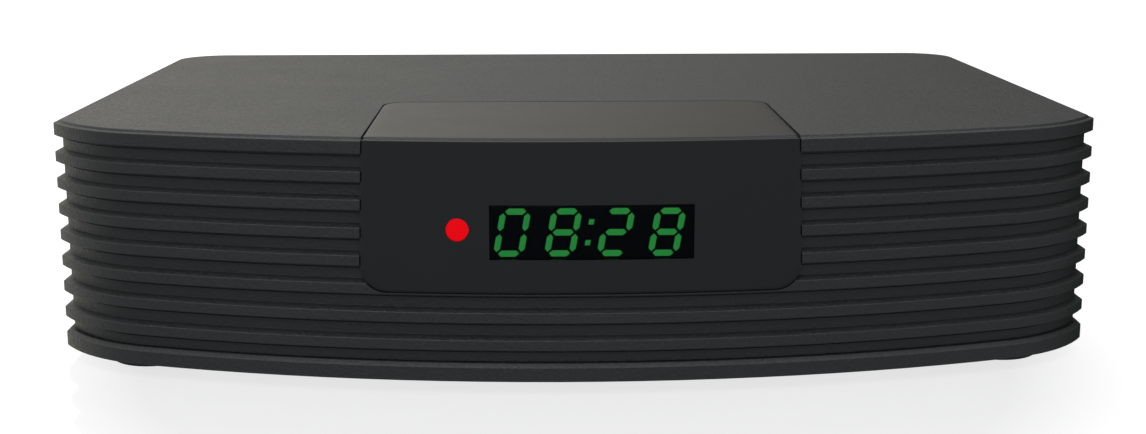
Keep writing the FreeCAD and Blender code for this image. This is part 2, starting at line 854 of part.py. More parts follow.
def make_tuner_lid():
    """Lid over the tuner's frame, with short skirts down its sides."""
    grow = sheet + thread_gap
    top = board_top + tuner_height
    y0 = board_back - tuner_depth
    outer = box(tuner_x - tuner_width / 2 - grow, tuner_x + tuner_width / 2 + grow, y0 - grow,
                board_back, top - lid_skirt, top)
    inner = box(tuner_x - tuner_width / 2 - thread_gap, tuner_x + tuner_width / 2 + thread_gap,
                y0 - thread_gap, board_back + 1.0, top - lid_skirt - 1.0, top - sheet)
    return outer.cut(inner)


def make_tuner_chip():
    """Tuner chip under the lid."""
    return block_on(board_top, tuner_x, board_back - tuner_depth / 2, flash_length, flash_length, memory_height)


def make_aerial_shells():
    """Barrels of the two aerial sockets, hollow for the insulator, with a neck under the nut."""
    shells = []
    thread_start = panel_outer + washer_thickness + nut_thickness + aerial_run_out
    for x in aerial_places():
        neck = rod_y(x, aerial_z, aerial_radius - aerial_neck_step, board_back, thread_start)
        barrel = neck.fuse(rod_y(x, aerial_z, aerial_radius, thread_start, aerial_end))
        barrel = barrel.cut(rod_y(x, aerial_z, aerial_bore, board_back + 1.0, aerial_end + 1.0))
        shells.append(barrel.cut(rod_y(x, aerial_z, aerial_contact_bore + 1.0, board_back - 1.0, aerial_end)))
    return shells


def make_aerial_insulators():
    """White insulators inside the aerial sockets."""
    contact = aerial_contact_bore + aerial_contact_wall
    plugs = []
    for x in aerial_places():
        plug = rod_y(x, aerial_z, aerial_bore - thread_gap, board_back + 1.0 + thread_gap, aerial_end - 0.5)
        plugs.append(plug.cut(rod_y(x, aerial_z, contact + thread_gap, board_back, aerial_end)))
    return plugs


def make_aerial_contacts():
    """Sprung contact tubes in the middle of the aerial sockets."""
    radius = aerial_contact_bore + aerial_contact_wall
    y0 = board_back - tuner_depth / 6
    tubes = []
    for x in aerial_places():
        tube = rod_y(x, aerial_z, radius, y0, aerial_end - 1.0)
        tubes.append(tube.cut(rod_y(x, aerial_z, aerial_contact_bore, board_back + 2.0, aerial_end)))
    return tubes


def make_aerial_washers():
    """Washers between the nuts and the rear panel."""
    return [rod_y(x, aerial_z, washer_radius, panel_outer, panel_outer + washer_thickness).cut(
        rod_y(x, aerial_z, aerial_radius + thread_gap, panel_outer - 1.0, panel_outer + 2.0))
        for x in aerial_places()]


def make_aerial_nuts():
    """Hexagonal nuts on the aerial sockets."""
    y0 = panel_outer + washer_thickness
    corner = nut_flats / 2 / math.cos(math.pi / 6)
    nuts = []
    for x in aerial_places():
        points = [(x + corner * math.cos(math.radians(60 * k)), aerial_z + corner * math.sin(math.radians(60 * k)))
                  for k in range(6)]
        nut = slab_xz(points, y0, y0 + nut_thickness)
        nuts.append(nut.cut(rod_y(x, aerial_z, aerial_radius + thread_gap, y0 - 1.0, y0 + nut_thickness + 1.0)))
    return nuts


def make_phono_block():
    """Moulded block of the coaxial audio socket."""
    y0 = board_back - phono_depth
    block = box(phono_x - phono_block / 2, phono_x + phono_block / 2, y0, board_back,
                board_top, board_top + phono_height)
    z = board_top + phono_rise
    return block.cut(rod_y(phono_x, z, phono_bore, board_back - phono_depth / 2, board_back + 1.0))


def make_phono_shell():
    """Metal ring of the coaxial audio socket."""
    z = board_top + phono_rise
    end = panel_outer + phono_reach
    free = panel_outer + phono_run_out
    neck = rod_y(phono_x, z, phono_radius - phono_neck_step, board_back, free)
    ring = neck.fuse(rod_y(phono_x, z, phono_radius, free, end))
    return ring.cut(rod_y(phono_x, z, phono_radius - phono_wall, board_back - 1.0, end + 1.0))


def make_phono_insert():
    """Coloured insert inside the metal ring, with the bore for the plug's pin."""
    z = board_top + phono_rise
    radius = phono_radius - phono_wall - thread_gap
    insert = rod_y(phono_x, z, radius, board_back, panel_outer + phono_reach - 0.4)
    return insert.cut(rod_y(phono_x, z, phono_bore, board_back - 1.0, panel_outer + phono_reach + 1.0))


def make_av_jack():
    """Small round socket for analogue sound and picture."""
    block = box(av_x - av_width / 2, av_x + av_width / 2, board_back - av_depth, board_back,
                board_top, board_top + av_height)
    z = board_top + av_rise
    nose = rod_y(av_x, z, av_nose_radius, board_back - 1.0, panel_outer + socket_proud)
    body = block.fuse(nose).removeSplitter()
    return body.cut(rod_y(av_x, z, av_bore, board_back - av_depth + 1.0, panel_outer + 2.0))


def socket_shell(x, width, height, depth, chamfer):
    """Folded metal shell of a socket, open to the back, its lower corners cut by chamfer."""
    y1 = panel_outer + socket_proud
    y0 = y1 - depth

    def outline_inside(inset):
        left, right = x - width / 2 + inset, x + width / 2 - inset
        low, high = board_top + inset, board_top + height - inset
        if chamfer == 0.0:
            return [(left, low), (right, low), (right, high), (left, high)]
        return [(left + chamfer, low), (right - chamfer, low), (right, low + chamfer), (right, high),
                (left, high), (left, low + chamfer)]
    shell = slab_xz(outline_inside(0.0), y0, y1)
    return shell.cut(slab_xz(outline_inside(shell_wall), y0 + shell_wall, y1 + 1.0))


def socket_tongue(x, width, thickness, height, depth, rise):
    """Insulating tongue inside a socket's shell, on a plug at its back."""
    y1 = panel_outer + socket_proud
    back = y1 - depth + shell_wall
    middle = board_top + height * rise
    tongue = box(x - width / 2, x + width / 2, back, y1 - 1.0, middle - thickness / 2, middle + thickness / 2)
    plug_z0 = board_top + shell_wall + thread_gap
    plug_z1 = board_top + height - shell_wall - thread_gap
    plug = box(x - width / 2, x + width / 2, back, back + 2.0, plug_z0, plug_z1)
    return tongue.fuse(plug).removeSplitter()


def make_network_jack():
    """Block of the network socket, with a stepped hole for the plug and its latch."""
    y1 = panel_outer + socket_proud
    block = box(network_x - network_width / 2, network_x + network_width / 2, y1 - network_depth, y1,
                board_top, board_top + network_height)
    z0 = board_top + network_hole_rise
    y0 = y1 - network_hole_depth
    hole = box(network_x - network_hole_width / 2, network_x + network_hole_width / 2, y0, y1 + 1.0,
               z0, z0 + network_hole_height)
    key = box(network_x - network_key_width / 2, network_x + network_key_width / 2, y0, y1 + 1.0,
              z0 - network_key_height, z0 + 1.0)
    return block.cut(hole.fuse(key))


def make_network_contacts():
    """Row of sprung contact wires under the roof of the network socket."""
    y1 = panel_outer + socket_proud
    roof = board_top + network_hole_rise + network_hole_height
    wires = []
    for number in range(network_contact_count):
        x = network_x + (number - (network_contact_count - 1) / 2) * network_contact_pitch
        half = network_contact_pitch / 5
        points = [(y1 - 3.0, roof), (y1 - 3.0, roof - 0.4), (y1 - network_hole_depth, roof - 2.2),
                  (y1 - network_hole_depth, roof - 1.7), (y1 - 3.8, roof)]
        wires.append(slab_yz(points, x - half, x + half))
    return wires


def make_power_jack():
    """Power inlet: a block with a round nose and the bore for a coaxial plug."""
    z = board_top + power_rise
    block = box(power_x - power_width / 2, power_x + power_width / 2, board_back - power_depth, board_back,
                board_top, board_top + power_height)
    nose = rod_y(power_x, z, power_nose_radius, board_back - 1.0, panel_outer + socket_proud)
    body = block.fuse(nose).removeSplitter()
    end = panel_outer + socket_proud
    body = body.cut(rod_y(power_x, z, power_bore, end - power_bore_depth, end + 1.0))
    return body.cut(rod_y(power_x, z, power_pin_radius + thread_gap, end - power_bore_depth - 2.0, end))


def make_power_pin():
    """Centre pin of the power inlet, with a rounded tip."""
    z = board_top + power_rise
    end = panel_outer + socket_proud
    pin = rod_y(power_x, z, power_pin_radius, end - power_bore_depth - 2.0, end - 0.8)
    tip = [e for e in pin.Edges if abs(e.BoundBox.YMin - (end - 0.8)) < 1e-4 and e.BoundBox.YLength < 1e-4]
    return pin.makeFillet(power_pin_radius / 2, tip)


def rocker_axis_y():
    """Place in Y of the rocker's pivot: its pressed half is nearly flush with the flange."""
    return panel_outer + switch_flange_thickness + rocker_proud - rocker_crown


def make_power_rocker():
    """Rocker with a shallow valley across its face, tilted with its upper half pressed in."""
    edge = rocker_end
    points = [(rocker_crown, 0.0), (edge, rocker_half_length), (edge - rocker_edge, rocker_half_length),
              (-rocker_foot, rocker_foot_half), (-rocker_foot, -rocker_foot_half),
              (edge - rocker_edge, -rocker_half_length), (edge, -rocker_half_length)]
    axis_y = rocker_axis_y()
    profile = [(axis_y + y, switch_z + z) for y, z in points]
    body = slab_yz(profile, switch_x - rocker_half_width, switch_x + rocker_half_width)
    reach = rocker_half_width + rocker_pin_length
    pins = rod_x(axis_y, switch_z, rocker_pin_radius, switch_x - reach, switch_x + reach)
    rocker = body.fuse(pins).removeSplitter()
    rocker.rotate(Vector(switch_x, axis_y, switch_z), Vector(1, 0, 0), rocker_tilt)
    return rocker


def make_switch_housing():
    """Switch body: a flange outside the panel, a deep well for the rocker and its pivot holes."""
    y1 = panel_outer + switch_flange_thickness
    y0 = panel_outer - switch_body_depth
    half_x, half_z = switch_half_width, switch_half_length
    body = box(switch_x - half_x, switch_x + half_x, y0, y1, switch_z - half_z, switch_z + half_z)
    flange = box(switch_x - half_x - switch_flange, switch_x + half_x + switch_flange, panel_outer, y1,
                 switch_z - half_z - switch_flange, switch_z + half_z + switch_flange)
    outer_edges = [e for e in flange.Edges if abs(e.BoundBox.YMin - y1) < 1e-4]
    flange = flange.makeChamfer(switch_flange / 2, outer_edges)
    inner_x, inner_z = half_x - switch_wall, half_z - switch_wall
    well = box(switch_x - inner_x, switch_x + inner_x, y0 + switch_back, y1 + 1.0,
               switch_z - inner_z, switch_z + inner_z)
    reach = rocker_half_width + rocker_pin_length + rocker_pin_gap
    holes = rod_x(rocker_axis_y(), switch_z, rocker_pin_radius + rocker_pin_gap,
                  switch_x - reach, switch_x + reach)
    return body.fuse(flange).cut(well).cut(holes).removeSplitter()


def make_switch_terminals():
    """Two terminals from the back of the switch down to the main board."""
    y0 = panel_outer - switch_body_depth
    half = terminal_width / 2
    blades = []
    for way in (-1, 1):
        x = switch_x + way * terminal_width
        across = box(x - half, x + half, y0 - terminal_width, y0, switch_z, switch_z + terminal_thickness)
        down = box(x - half, x + half, y0 - terminal_width, y0 - terminal_width + terminal_thickness,
                   board_top, switch_z + terminal_thickness)
        blades.append(across.fuse(down).removeSplitter())
    return blades


def chip_place():
    """Place in X and Y of the main chip."""
    return chip_x, board_front + chip_y


def make_main_chip():
    """Main chip under the heat sink."""
    x, y = chip_place()
    return block_on(board_top, x, y, chip_size, chip_size, chip_height)


def make_thermal_pad():
    """Soft pad between the main chip and the heat sink."""
    x, y = chip_place()
    return block_on(board_top + chip_height, x, y, pad_size, pad_size, pad_thickness)


def make_heat_sink():
    """Finned heat sink on the main chip."""
    x, y = chip_place()
    z = board_top + chip_height + pad_thickness
    sink = block_on(z, x, y, sink_size, sink_size, sink_base)
    step = (sink_size - fin_thickness) / (fin_count - 1)
    fins = [block_on(z + sink_base / 2, x - sink_size / 2 + fin_thickness / 2 + k * step, y,
                     fin_thickness, sink_size, sink_height - sink_base / 2) for k in range(fin_count)]
    return sink.multiFuse(fins).removeSplitter()


def make_memory_chips():
    """Two memory chips beside the main chip."""
    x, y = chip_place()
    beside = x + chip_size / 2 + memory_width
    return [block_on(board_top, beside, y + way * memory_length * 0.6, memory_width, memory_length, memory_height)
            for way in (-1, 1)]


def flash_place():
    """Place in X and Y of the small chip, before the main one."""
    x, y = chip_place()
    return x - flash_length, y - chip_size / 2 - 2 * ceramic_length - flash_width


def make_flash_chip():
    """Small chip that holds the programme."""
    x, y = flash_place()
    return block_on(board_top, x, y, flash_length, flash_width, flash_height)


def make_crystal():
    """Crystal in its rounded metal can."""
    x, y = chip_place()
    before = y - chip_size / 2 - 2 * ceramic_length - crystal_width
    can = block_on(board_top, x + crystal_length, before, crystal_length, crystal_width, crystal_height)
    upright = [e for e in can.Edges if e.BoundBox.ZLength > crystal_height / 2]
    return can.makeFillet(crystal_width / 2 - 0.01, upright)


def make_power_coils():
    """Screened coils of the power supplies."""
    coils = []
    for number in range(3):
        y = board_front + chip_y + number * coil_size * 1.4
        coil = block_on(board_top, coil_x, y, coil_size, coil_size, coil_height)
        upright = [e for e in coil.Edges if e.BoundBox.ZLength > coil_height / 2]
        coils.append(coil.makeFillet(coil_round, upright))
    return coils


def capacitor(x, y, radius, height):
    """Upright capacitor: a base disc, a waist and a can with a rounded top."""
    base = rod_z(x, y, radius, board_top, board_top + radius / 3)
    waist = rod_z(x, y, radius * 0.92, board_top, board_top + radius / 2)
    can = rod_z(x, y, radius, board_top + radius / 2, board_top + height)
    can = can.makeFillet(radius / 8, edges_at_height(can, board_top + height))
    return base.fuse(waist).fuse(can).removeSplitter()


def make_large_capacitors():
    """Large capacitors in a row in front of the power inlet."""
    return [capacitor(can_x, board_front + chip_y + number * can_radius * 2.6, can_radius, can_height)
            for number in range(3)]


def make_small_capacitors():
    """Small capacitors in front of the tuner."""
    y = board_back - tuner_depth - small_can_radius * 2.4
    return [capacitor(tuner_x + way * small_can_radius * 3, y, small_can_radius, small_can_height)
            for way in (-2, -1, 0)]


def make_regulators():
    """Voltage regulators in a row in front of the coils, clear of the small chip."""
    x, y = flash_place()
    before = y - flash_width / 2 - regulator_gap - regulator_width / 2
    return [block_on(board_top, can_x + number * regulator_length * 1.6, before,
                     regulator_length, regulator_width, regulator_height) for number in range(3)]


def make_ceramic_capacitors():
    """Rows of small ceramic capacitors before and behind the main chip."""
    x, y = chip_place()
    reach = chip_size / 2 + ceramic_length
    return [block_on(board_top, x + (number - 3.5) * ceramic_length * 1.5, y + way * reach,
                     ceramic_length, ceramic_width, ceramic_height)
            for way in (-1, 1) for number in range(8)]


def all_pieces():
    """Every named piece as a list of its solids."""
    pieces = {
        "top_cover": [make_top_cover()],
        "base_tray": [make_base_tray()],
        "rear_panel": [make_rear_panel()],
        "front_bezel": [make_front_bezel()],
        "display_window": [make_display_window()],
        "indicator_lens": [make_indicator_lens()],
        "indicator_lamp": [make_indicator_lamp()],
        "remote_eye": [make_remote_eye()],
        "display_module": [make_display_module()],
        "lit_segments": segment_solids(True),
        "dark_segments": segment_solids(False),
        "front_board": [make_front_board()],
        "link_header": [with_pin_seats(make_link_header())],
        "link_pins": make_link_pins(),
        "main_board": [make_main_board()],
        "main_chip": [make_main_chip()],
        "thermal_pad": [make_thermal_pad()],
        "heat_sink": [make_heat_sink()],
        "memory_chips": make_memory_chips(),
        "flash_chip": [make_flash_chip()],
        "crystal": [make_crystal()],
        "power_coils": make_power_coils(),
        "large_capacitors": make_large_capacitors(),
        "small_capacitors": make_small_capacitors(),
        "regulators": make_regulators(),
        "ceramic_capacitors": make_ceramic_capacitors(),
        "tuner_frame": [make_tuner_frame()],
        "tuner_lid": [make_tuner_lid()],
        "tuner_chip": [make_tuner_chip()],
        "aerial_shells": make_aerial_shells(),
        "aerial_insulators": make_aerial_insulators(),
        "aerial_contacts": make_aerial_contacts(),
        "aerial_washers": make_aerial_washers(),
        "aerial_nuts": make_aerial_nuts(),
        "phono_block": [make_phono_block()],
        "phono_shell": [make_phono_shell()],
        "phono_insert": [make_phono_insert()],
        "av_jack": [make_av_jack()],
        "video_socket": [socket_shell(video_x, video_width, video_height, video_depth, video_chamfer)],
        "video_tongue": [socket_tongue(video_x, video_tongue_width, video_tongue, video_height,
                                       video_depth, 0.55)],
        "data_socket": [socket_shell(data_x, data_width, data_height, data_depth, 0.0)],
        "data_tongue": [socket_tongue(data_x, data_tongue_width, data_tongue, data_height,
                                      data_depth, 0.66)],
        "network_jack": [make_network_jack()],
        "network_contacts": make_network_contacts(),
        "power_jack": [make_power_jack()],
        "power_pin": [make_power_pin()],
        "switch_housing": [make_switch_housing()],
        "switch_terminals": make_switch_terminals(),
        "power_rocker": [make_power_rocker()],
        "case_screws": make_case_screws(),
        "board_screws": make_board_screws(),
    }
    for name, x, y in foot_places():
        pieces[name] = [make_foot(x, y)]
    return pieces


def main():
    """Make every piece, set it about the origin and write it to a file of its own."""
    os.makedirs("parts", exist_ok=True)
    to_origin = Vector(0, -overall_depth / 2, foot_height)
    for name, solids in all_pieces().items():
        shape = solids[0] if len(solids) == 1 else Part.makeCompound(solids)
        shape.translate(to_origin)
        shape.exportStep(f"parts/{name}.step")
        print(f"{name}: {len(shape.Solids)} solids, {shape.Volume / 1000:.2f} cm3, valid {shape.isValid()}")


main()
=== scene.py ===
import json
import math

import bmesh
import bpy
import numpy as np
from mathutils import Matrix, Vector


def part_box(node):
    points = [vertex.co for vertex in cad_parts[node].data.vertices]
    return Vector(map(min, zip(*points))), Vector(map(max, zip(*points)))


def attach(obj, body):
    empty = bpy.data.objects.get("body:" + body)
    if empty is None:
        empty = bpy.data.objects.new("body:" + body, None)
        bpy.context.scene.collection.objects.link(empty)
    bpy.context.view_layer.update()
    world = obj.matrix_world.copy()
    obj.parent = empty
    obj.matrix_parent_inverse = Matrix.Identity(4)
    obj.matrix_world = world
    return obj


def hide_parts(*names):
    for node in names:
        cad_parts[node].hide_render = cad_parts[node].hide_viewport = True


bl_info = {
    "name": "Satellite receiver",
    "version": (1, 0, 0),
    "blender": (4, 5, 0),
    "location": "3D View > Sidebar > Receiver",
    "description": "Builds the visible surfaces and finishes of a compact satellite television receiver",
    "category": "Add Mesh",
}

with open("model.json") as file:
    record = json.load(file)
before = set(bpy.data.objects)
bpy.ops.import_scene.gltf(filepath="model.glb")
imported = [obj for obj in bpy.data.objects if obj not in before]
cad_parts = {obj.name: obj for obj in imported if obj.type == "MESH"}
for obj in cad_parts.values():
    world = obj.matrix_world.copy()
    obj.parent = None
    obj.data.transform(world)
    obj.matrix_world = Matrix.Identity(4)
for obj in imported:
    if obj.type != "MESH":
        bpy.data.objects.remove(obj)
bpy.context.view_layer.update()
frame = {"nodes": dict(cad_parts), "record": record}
cover_low, cover_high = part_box("top_cover")
bezel_low, bezel_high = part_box("front_bezel")
window_low, window_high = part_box("display_window")
lens_low, lens_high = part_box("indicator_lens")
MM = 0.001
# Points along half the rear opening's edge.
OPENING_POINTS = 12
# Depths behind the bezel's surface: of the pane and the indicator, of the walls round the window,
# and of the bezel's side walls where it lies on the top plate.
PANE_DEPTH, OPENING_DEPTH, TONGUE_DEPTH = 0.8 * MM, 0.9 * MM, 1.0 * MM
# Share of their width and height that the lit bars keep, so that dark gaps show between them.
BAR_SHARE = 0.9


def length(name, description, default):
    """Property that holds a length in metres."""
    return bpy.props.FloatProperty(
        name=name, description=description, default=default, min=0.0, subtype="DISTANCE",
        unit="LENGTH", precision=5)


def linear(hex_colour):
    """Linear colour with alpha 1 from an sRGB hex value: each channel follows the sRGB curve."""
    channels = np.array([int(hex_colour[place:place + 2], 16) for place in (1, 3, 5)]) / 255
    curved = np.where(channels <= 0.04045, channels / 12.92, ((channels + 0.055) / 1.055) ** 2.4)
    return (*[float(value) for value in curved], 1.0)


def colour(name, description, hex_colour):
    """Property that holds a linear colour, given as an sRGB hex value."""
    return bpy.props.FloatVectorProperty(
        name=name, description=description, subtype="COLOR", size=4, min=0.0, max=1.0,
        default=linear(hex_colour))


class CasingSizes(bpy.types.PropertyGroup):
    """Sizes of the ribbed casing."""
    width: length("Width", "Width over the ribs", cover_high[0] - cover_low[0])
    depth: length("Depth", "Depth over the ribs", cover_high[1] - cover_low[1])
    top: length("Top", "Height of the top plate above the floor", cover_high[2])
    bow_angle: bpy.props.FloatProperty(
        name="Bow angle", description="Half angle of the bowed front", default=math.radians(18.0),
        subtype="ANGLE")
    shoulder_radius: length("Shoulder", "Radius of the shoulder arcs", 27.2 * MM)
    corner_radius: length("Corner", "Radius of the small front corners", 1.5 * MM)
    least_radius: length("Least corner", "Radius of a front corner that the inset would close", 0.3 * MM)
    back_radius: length("Back corner", "Radius of the back corners", 10.0 * MM)
    shoulder_angle: bpy.props.FloatProperty(
        name="Shoulder end", description="Angle at the shoulder's end", default=math.radians(58.8),
        subtype="ANGLE")
    rib: length("Rib", "Height of a rib, its slope included", 2.17 * MM)
    top_rib: length("Top rib", "Height of the top rib", 2.47 * MM)
    groove: length("Groove", "Height of a groove", 2.11 * MM)
    groove_depth: length("Groove depth", "How far the grooves go in", 1.3 * MM)
    ribs: bpy.props.IntProperty(
        name="Ribs", description="Ribs on the cover, the top one included", default=8, min=2)
    plate_bevel: length("Plate bevel", "Width of the steep bevel round the top plate", 0.24 * MM)
    plate_drop: length("Plate drop", "Height of that bevel", 0.40 * MM)
    plate_ledge: length("Plate ledge", "Width of the narrow ledge outside that bevel", 0.75 * MM)
    plate_fall: length("Ledge fall", "How far that ledge falls outwards", 0.07 * MM)
    slope: length("Rib slope", "Height of the slope on top of each rib", 0.6 * MM)
    slot: length("Slot", "Height of the shadow slot under each rib", 0.55 * MM)
    slot_depth: length("Slot depth", "How far the slot goes in behind the groove", 0.2 * MM)
    ease: length("Ease", "Length over which the ribs' edges are rounded", 0.1 * MM)
    wall: length("Wall", "Depth of the wall behind a rib's face", 3.3 * MM)
    opening: length("Rear opening", "Half width of the opening at the back", 70.0 * MM)
    lintel: length("Lintel", "How far the opening's upper edge lies under the top", 5.9 * MM)


class BezelSizes(bpy.types.PropertyGroup):
    """Sizes of the smooth bezel and what is set in it."""
    half_width: length("Half width", "Half the bezel's width at its lower edge", 33.65 * MM)
    offset: length("Offset", "How far the bezel sits to the right of the middle", 0.15 * MM)
    lean: length("Lean", "How far each side leans in up to the top", 0.84 * MM)
    corner: length("Corner", "Radius of the bezel's corners", 4.2 * MM)
    bevel: length("Bevel", "Width of the bevel along the bezel's edges", 0.46 * MM)
    bevel_depth: length("Bevel depth", "Depth of that bevel", 0.2 * MM)
    drop: length("Drop", "Height of the steep bevel between the bezel's top and its front", 0.28 * MM)
    drop_width: length("Drop width", "Width of that bevel", 0.2 * MM)
    ledge: length("Ledge", "Width of the narrow ledge in front of that bevel", 1.15 * MM)
    gap: length("Gap", "Gap between the bezel and the casing", 0.03 * MM)
    skin: length("Skin", "Depth of the bezel's side walls", 1.6 * MM)
    window_edge: length("Window edge", "Radius of the window's edges", 0.06 * MM)
    flange: length("Flange", "Hidden flange round the window", 0.6 * MM)
    lens_radius: length("Lens", "Radius of the round indicator", 1.69 * MM)
    lens_crown: length("Lens crown", "Rise of the indicator's middle", 0.1 * MM)


class FootSizes(bpy.types.PropertyGroup):
    """Sizes of the rubber feet."""
    edge_round: length("Edge", "Radius of a foot's lower edge", 0.12 * MM)
    dish_radius: length("Dish", "Radius of the shallow dish under a foot", 3.6 * MM)
    dish_depth: length("Dish depth", "Depth of the dish", 0.3 * MM)


class ThreadSizes(bpy.types.PropertyGroup):
    """Sizes of the aerial sockets' threads."""
    pitch: length("Pitch", "Distance from one turn to the next", 0.794 * MM)
    depth: length("Depth", "Depth of the thread", 0.32 * MM)
    bore: length("Bore", "Radius of the barrel's bore", 3.3 * MM)


class FinishColours(bpy.types.PropertyGroup):
    """Colours of the finishes that show."""
    casing: colour("Casing", "Grained plastic of the casing", "#262828")
    bezel: colour("Bezel", "Satin plastic of the bezel", "#0F1112")
    window: colour("Window", "Tint of the display's window", "#02050A")
    segment: colour("Segments", "Lit bars of the display", "#149A50")
    segment_patch: colour("Segment patches", "Yellower patches of the lit bars", "#3FA43C")
    indicator: colour("Indicator", "Lit lens of the indicator", "#DC0612")
    floor: colour("Floor", "Pale floor", "#5E5E5E")


def settings(name):
    """Group of sizes or colours of the current scene."""
    return getattr(bpy.context.scene, name)


def node(tree, kind, inputs=None, **values):
    """Adds a node, sets its values, and links or sets its inputs."""
    made = tree.nodes.new(kind)
    for name, value in values.items():
        setattr(made, name, value)
    for name, value in (inputs or {}).items():
        if isinstance(value, bpy.types.NodeSocket):
            tree.links.new(value, made.inputs[name])
        else:
            made.inputs[name].default_value = value
    return made


def grains(scale_mm):
    """Scale of a noise texture whose grains are this wide, on coordinates in metres."""
    return 1.0 / (scale_mm * MM)


def finish(name, tint, roughness, metallic=0.0, grain=0.3, bump=0.0, shade=0.1, rough_spread=0.06,
           **constants):
    """Material with a tint, mottled by grains of a real size, which also lift and roughen the surface.

    The fine noise is grain millimetres wide and lifts the surface by bump millimetres. A second
    noise, forty times as wide and a quarter as strong, is the faint unevenness of a moulded or
    rolled surface. The tint runs from shade darker to shade lighter over both, and the roughness
    by rough_spread.
    """
    material = bpy.data.materials.new(name)
    material.use_nodes = True
    tree = material.node_tree
    tree.nodes.clear()
    place = node(tree, "ShaderNodeTexCoord").outputs["Object"]
    fine = node(tree, "ShaderNodeTexNoise", {
        "Vector": place, "Scale": grains(grain), "Detail": 3.0, "Roughness": 0.6})
    broad = node(tree, "ShaderNodeTexNoise", {
        "Vector": place, "Scale": grains(grain * 40), "Detail": 2.0})
    both = node(tree, "ShaderNodeMath", {0: broad.outputs["Fac"], 1: 0.25, 2: fine.outputs["Fac"]},
                operation="MULTIPLY_ADD")
    # The two noises together fill about this range.
    mottled = {"Value": both.outputs["Value"], "From Min": 0.35, "From Max": 0.9}
    spread = node(tree, "ShaderNodeMapRange", {**mottled, "To Min": 1 - shade, "To Max": 1 + shade})
    tinted = node(tree, "ShaderNodeVectorMath", {0: tint[:3], "Scale": spread.outputs["Result"]},
                  operation="SCALE")
    rough = node(tree, "ShaderNodeMapRange", {
        **mottled, "To Min": max(roughness - rough_spread, 0.02),
        "To Max": min(roughness + rough_spread, 1.0)})
    shader = node(tree, "ShaderNodeBsdfPrincipled", {
        "Base Color": tinted.outputs["Vector"], "Roughness": rough.outputs["Result"],
        "Metallic": metallic, **constants})
    if bump:
        lift = node(tree, "ShaderNodeBump", {
            "Height": fine.outputs["Fac"], "Distance": bump * MM, "Strength": 1.0})
        tree.links.new(lift.outputs["Normal"], shader.inputs["Normal"])
    node(tree, "ShaderNodeOutputMaterial", {"Surface": shader.outputs["BSDF"]})
    return material


def grained_casing(name):
    """Injection moulded ABS from a spark eroded mould.

    The fine matt grain, 0.5 mm wide, scatters the light softly: at a low angle the plate turns
    pale, and face on it stays nearly black.
    """
    return finish(name, settings("finish_colours").casing, 0.49, grain=0.5, bump=0.12, shade=0.25,
                  rough_spread=0.14, IOR=1.5)


def satin_bezel(name):
    """Injection moulded ABS from a lapped mould: the same plastic, smoother and a little darker."""
    return finish(name, settings("finish_colours").bezel, 0.36, grain=0.2, bump=0.006, shade=0.08,
                  IOR=1.5)


def tinted_acrylic(name):
    """Cast acrylic with a deep tint, polished: nearly black, with the lit bars showing through."""
    material = finish(name, settings("finish_colours").window, 0.2, grain=2.0, rough_spread=0.02,
                      IOR=1.49, Alpha=0.72, **{"Specular IOR Level": 0.1})
    material.surface_render_method = "BLENDED"
    return material


def black_ink(name):
    """Matt black ink: it swallows the light of the bars beside it."""
    return finish(name, linear("#020202"), 0.9, grain=0.5, **{"Specular IOR Level": 0.0})


def lit_bars(name):
    """Light-diffusing epoxy of the display's bars: green, yellower in soft patches 1.6 mm wide."""
    colours = settings("finish_colours")
    material = finish(name, colours.segment, 0.5, grain=0.8, shade=0.2, **{"Emission Strength": 7.0})
    tree = material.node_tree
    place = node(tree, "ShaderNodeTexCoord")
    patches = node(tree, "ShaderNodeTexNoise", {
        "Vector": place.outputs["Object"], "Scale": grains(1.6), "Detail": 1.0})
    mixed = node(tree, "ShaderNodeMix", {"Factor": patches.outputs["Fac"], "A": colours.segment,
                                         "B": colours.segment_patch}, data_type="RGBA")
    shader = tree.nodes["Principled BSDF"]
    tree.links.new(mixed.outputs["Result"], shader.inputs["Emission Color"])
    return material


def lit_lens(name):
    """Clear red polycarbonate lit from behind: an even bright red."""
    tint = settings("finish_colours").indicator
    return finish(name, [channel / 8 for channel in tint], 0.4, grain=1.0, shade=0.05, **{
        "Specular IOR Level": 0.05, "Emission Color": tint, "Emission Strength": 1.0})


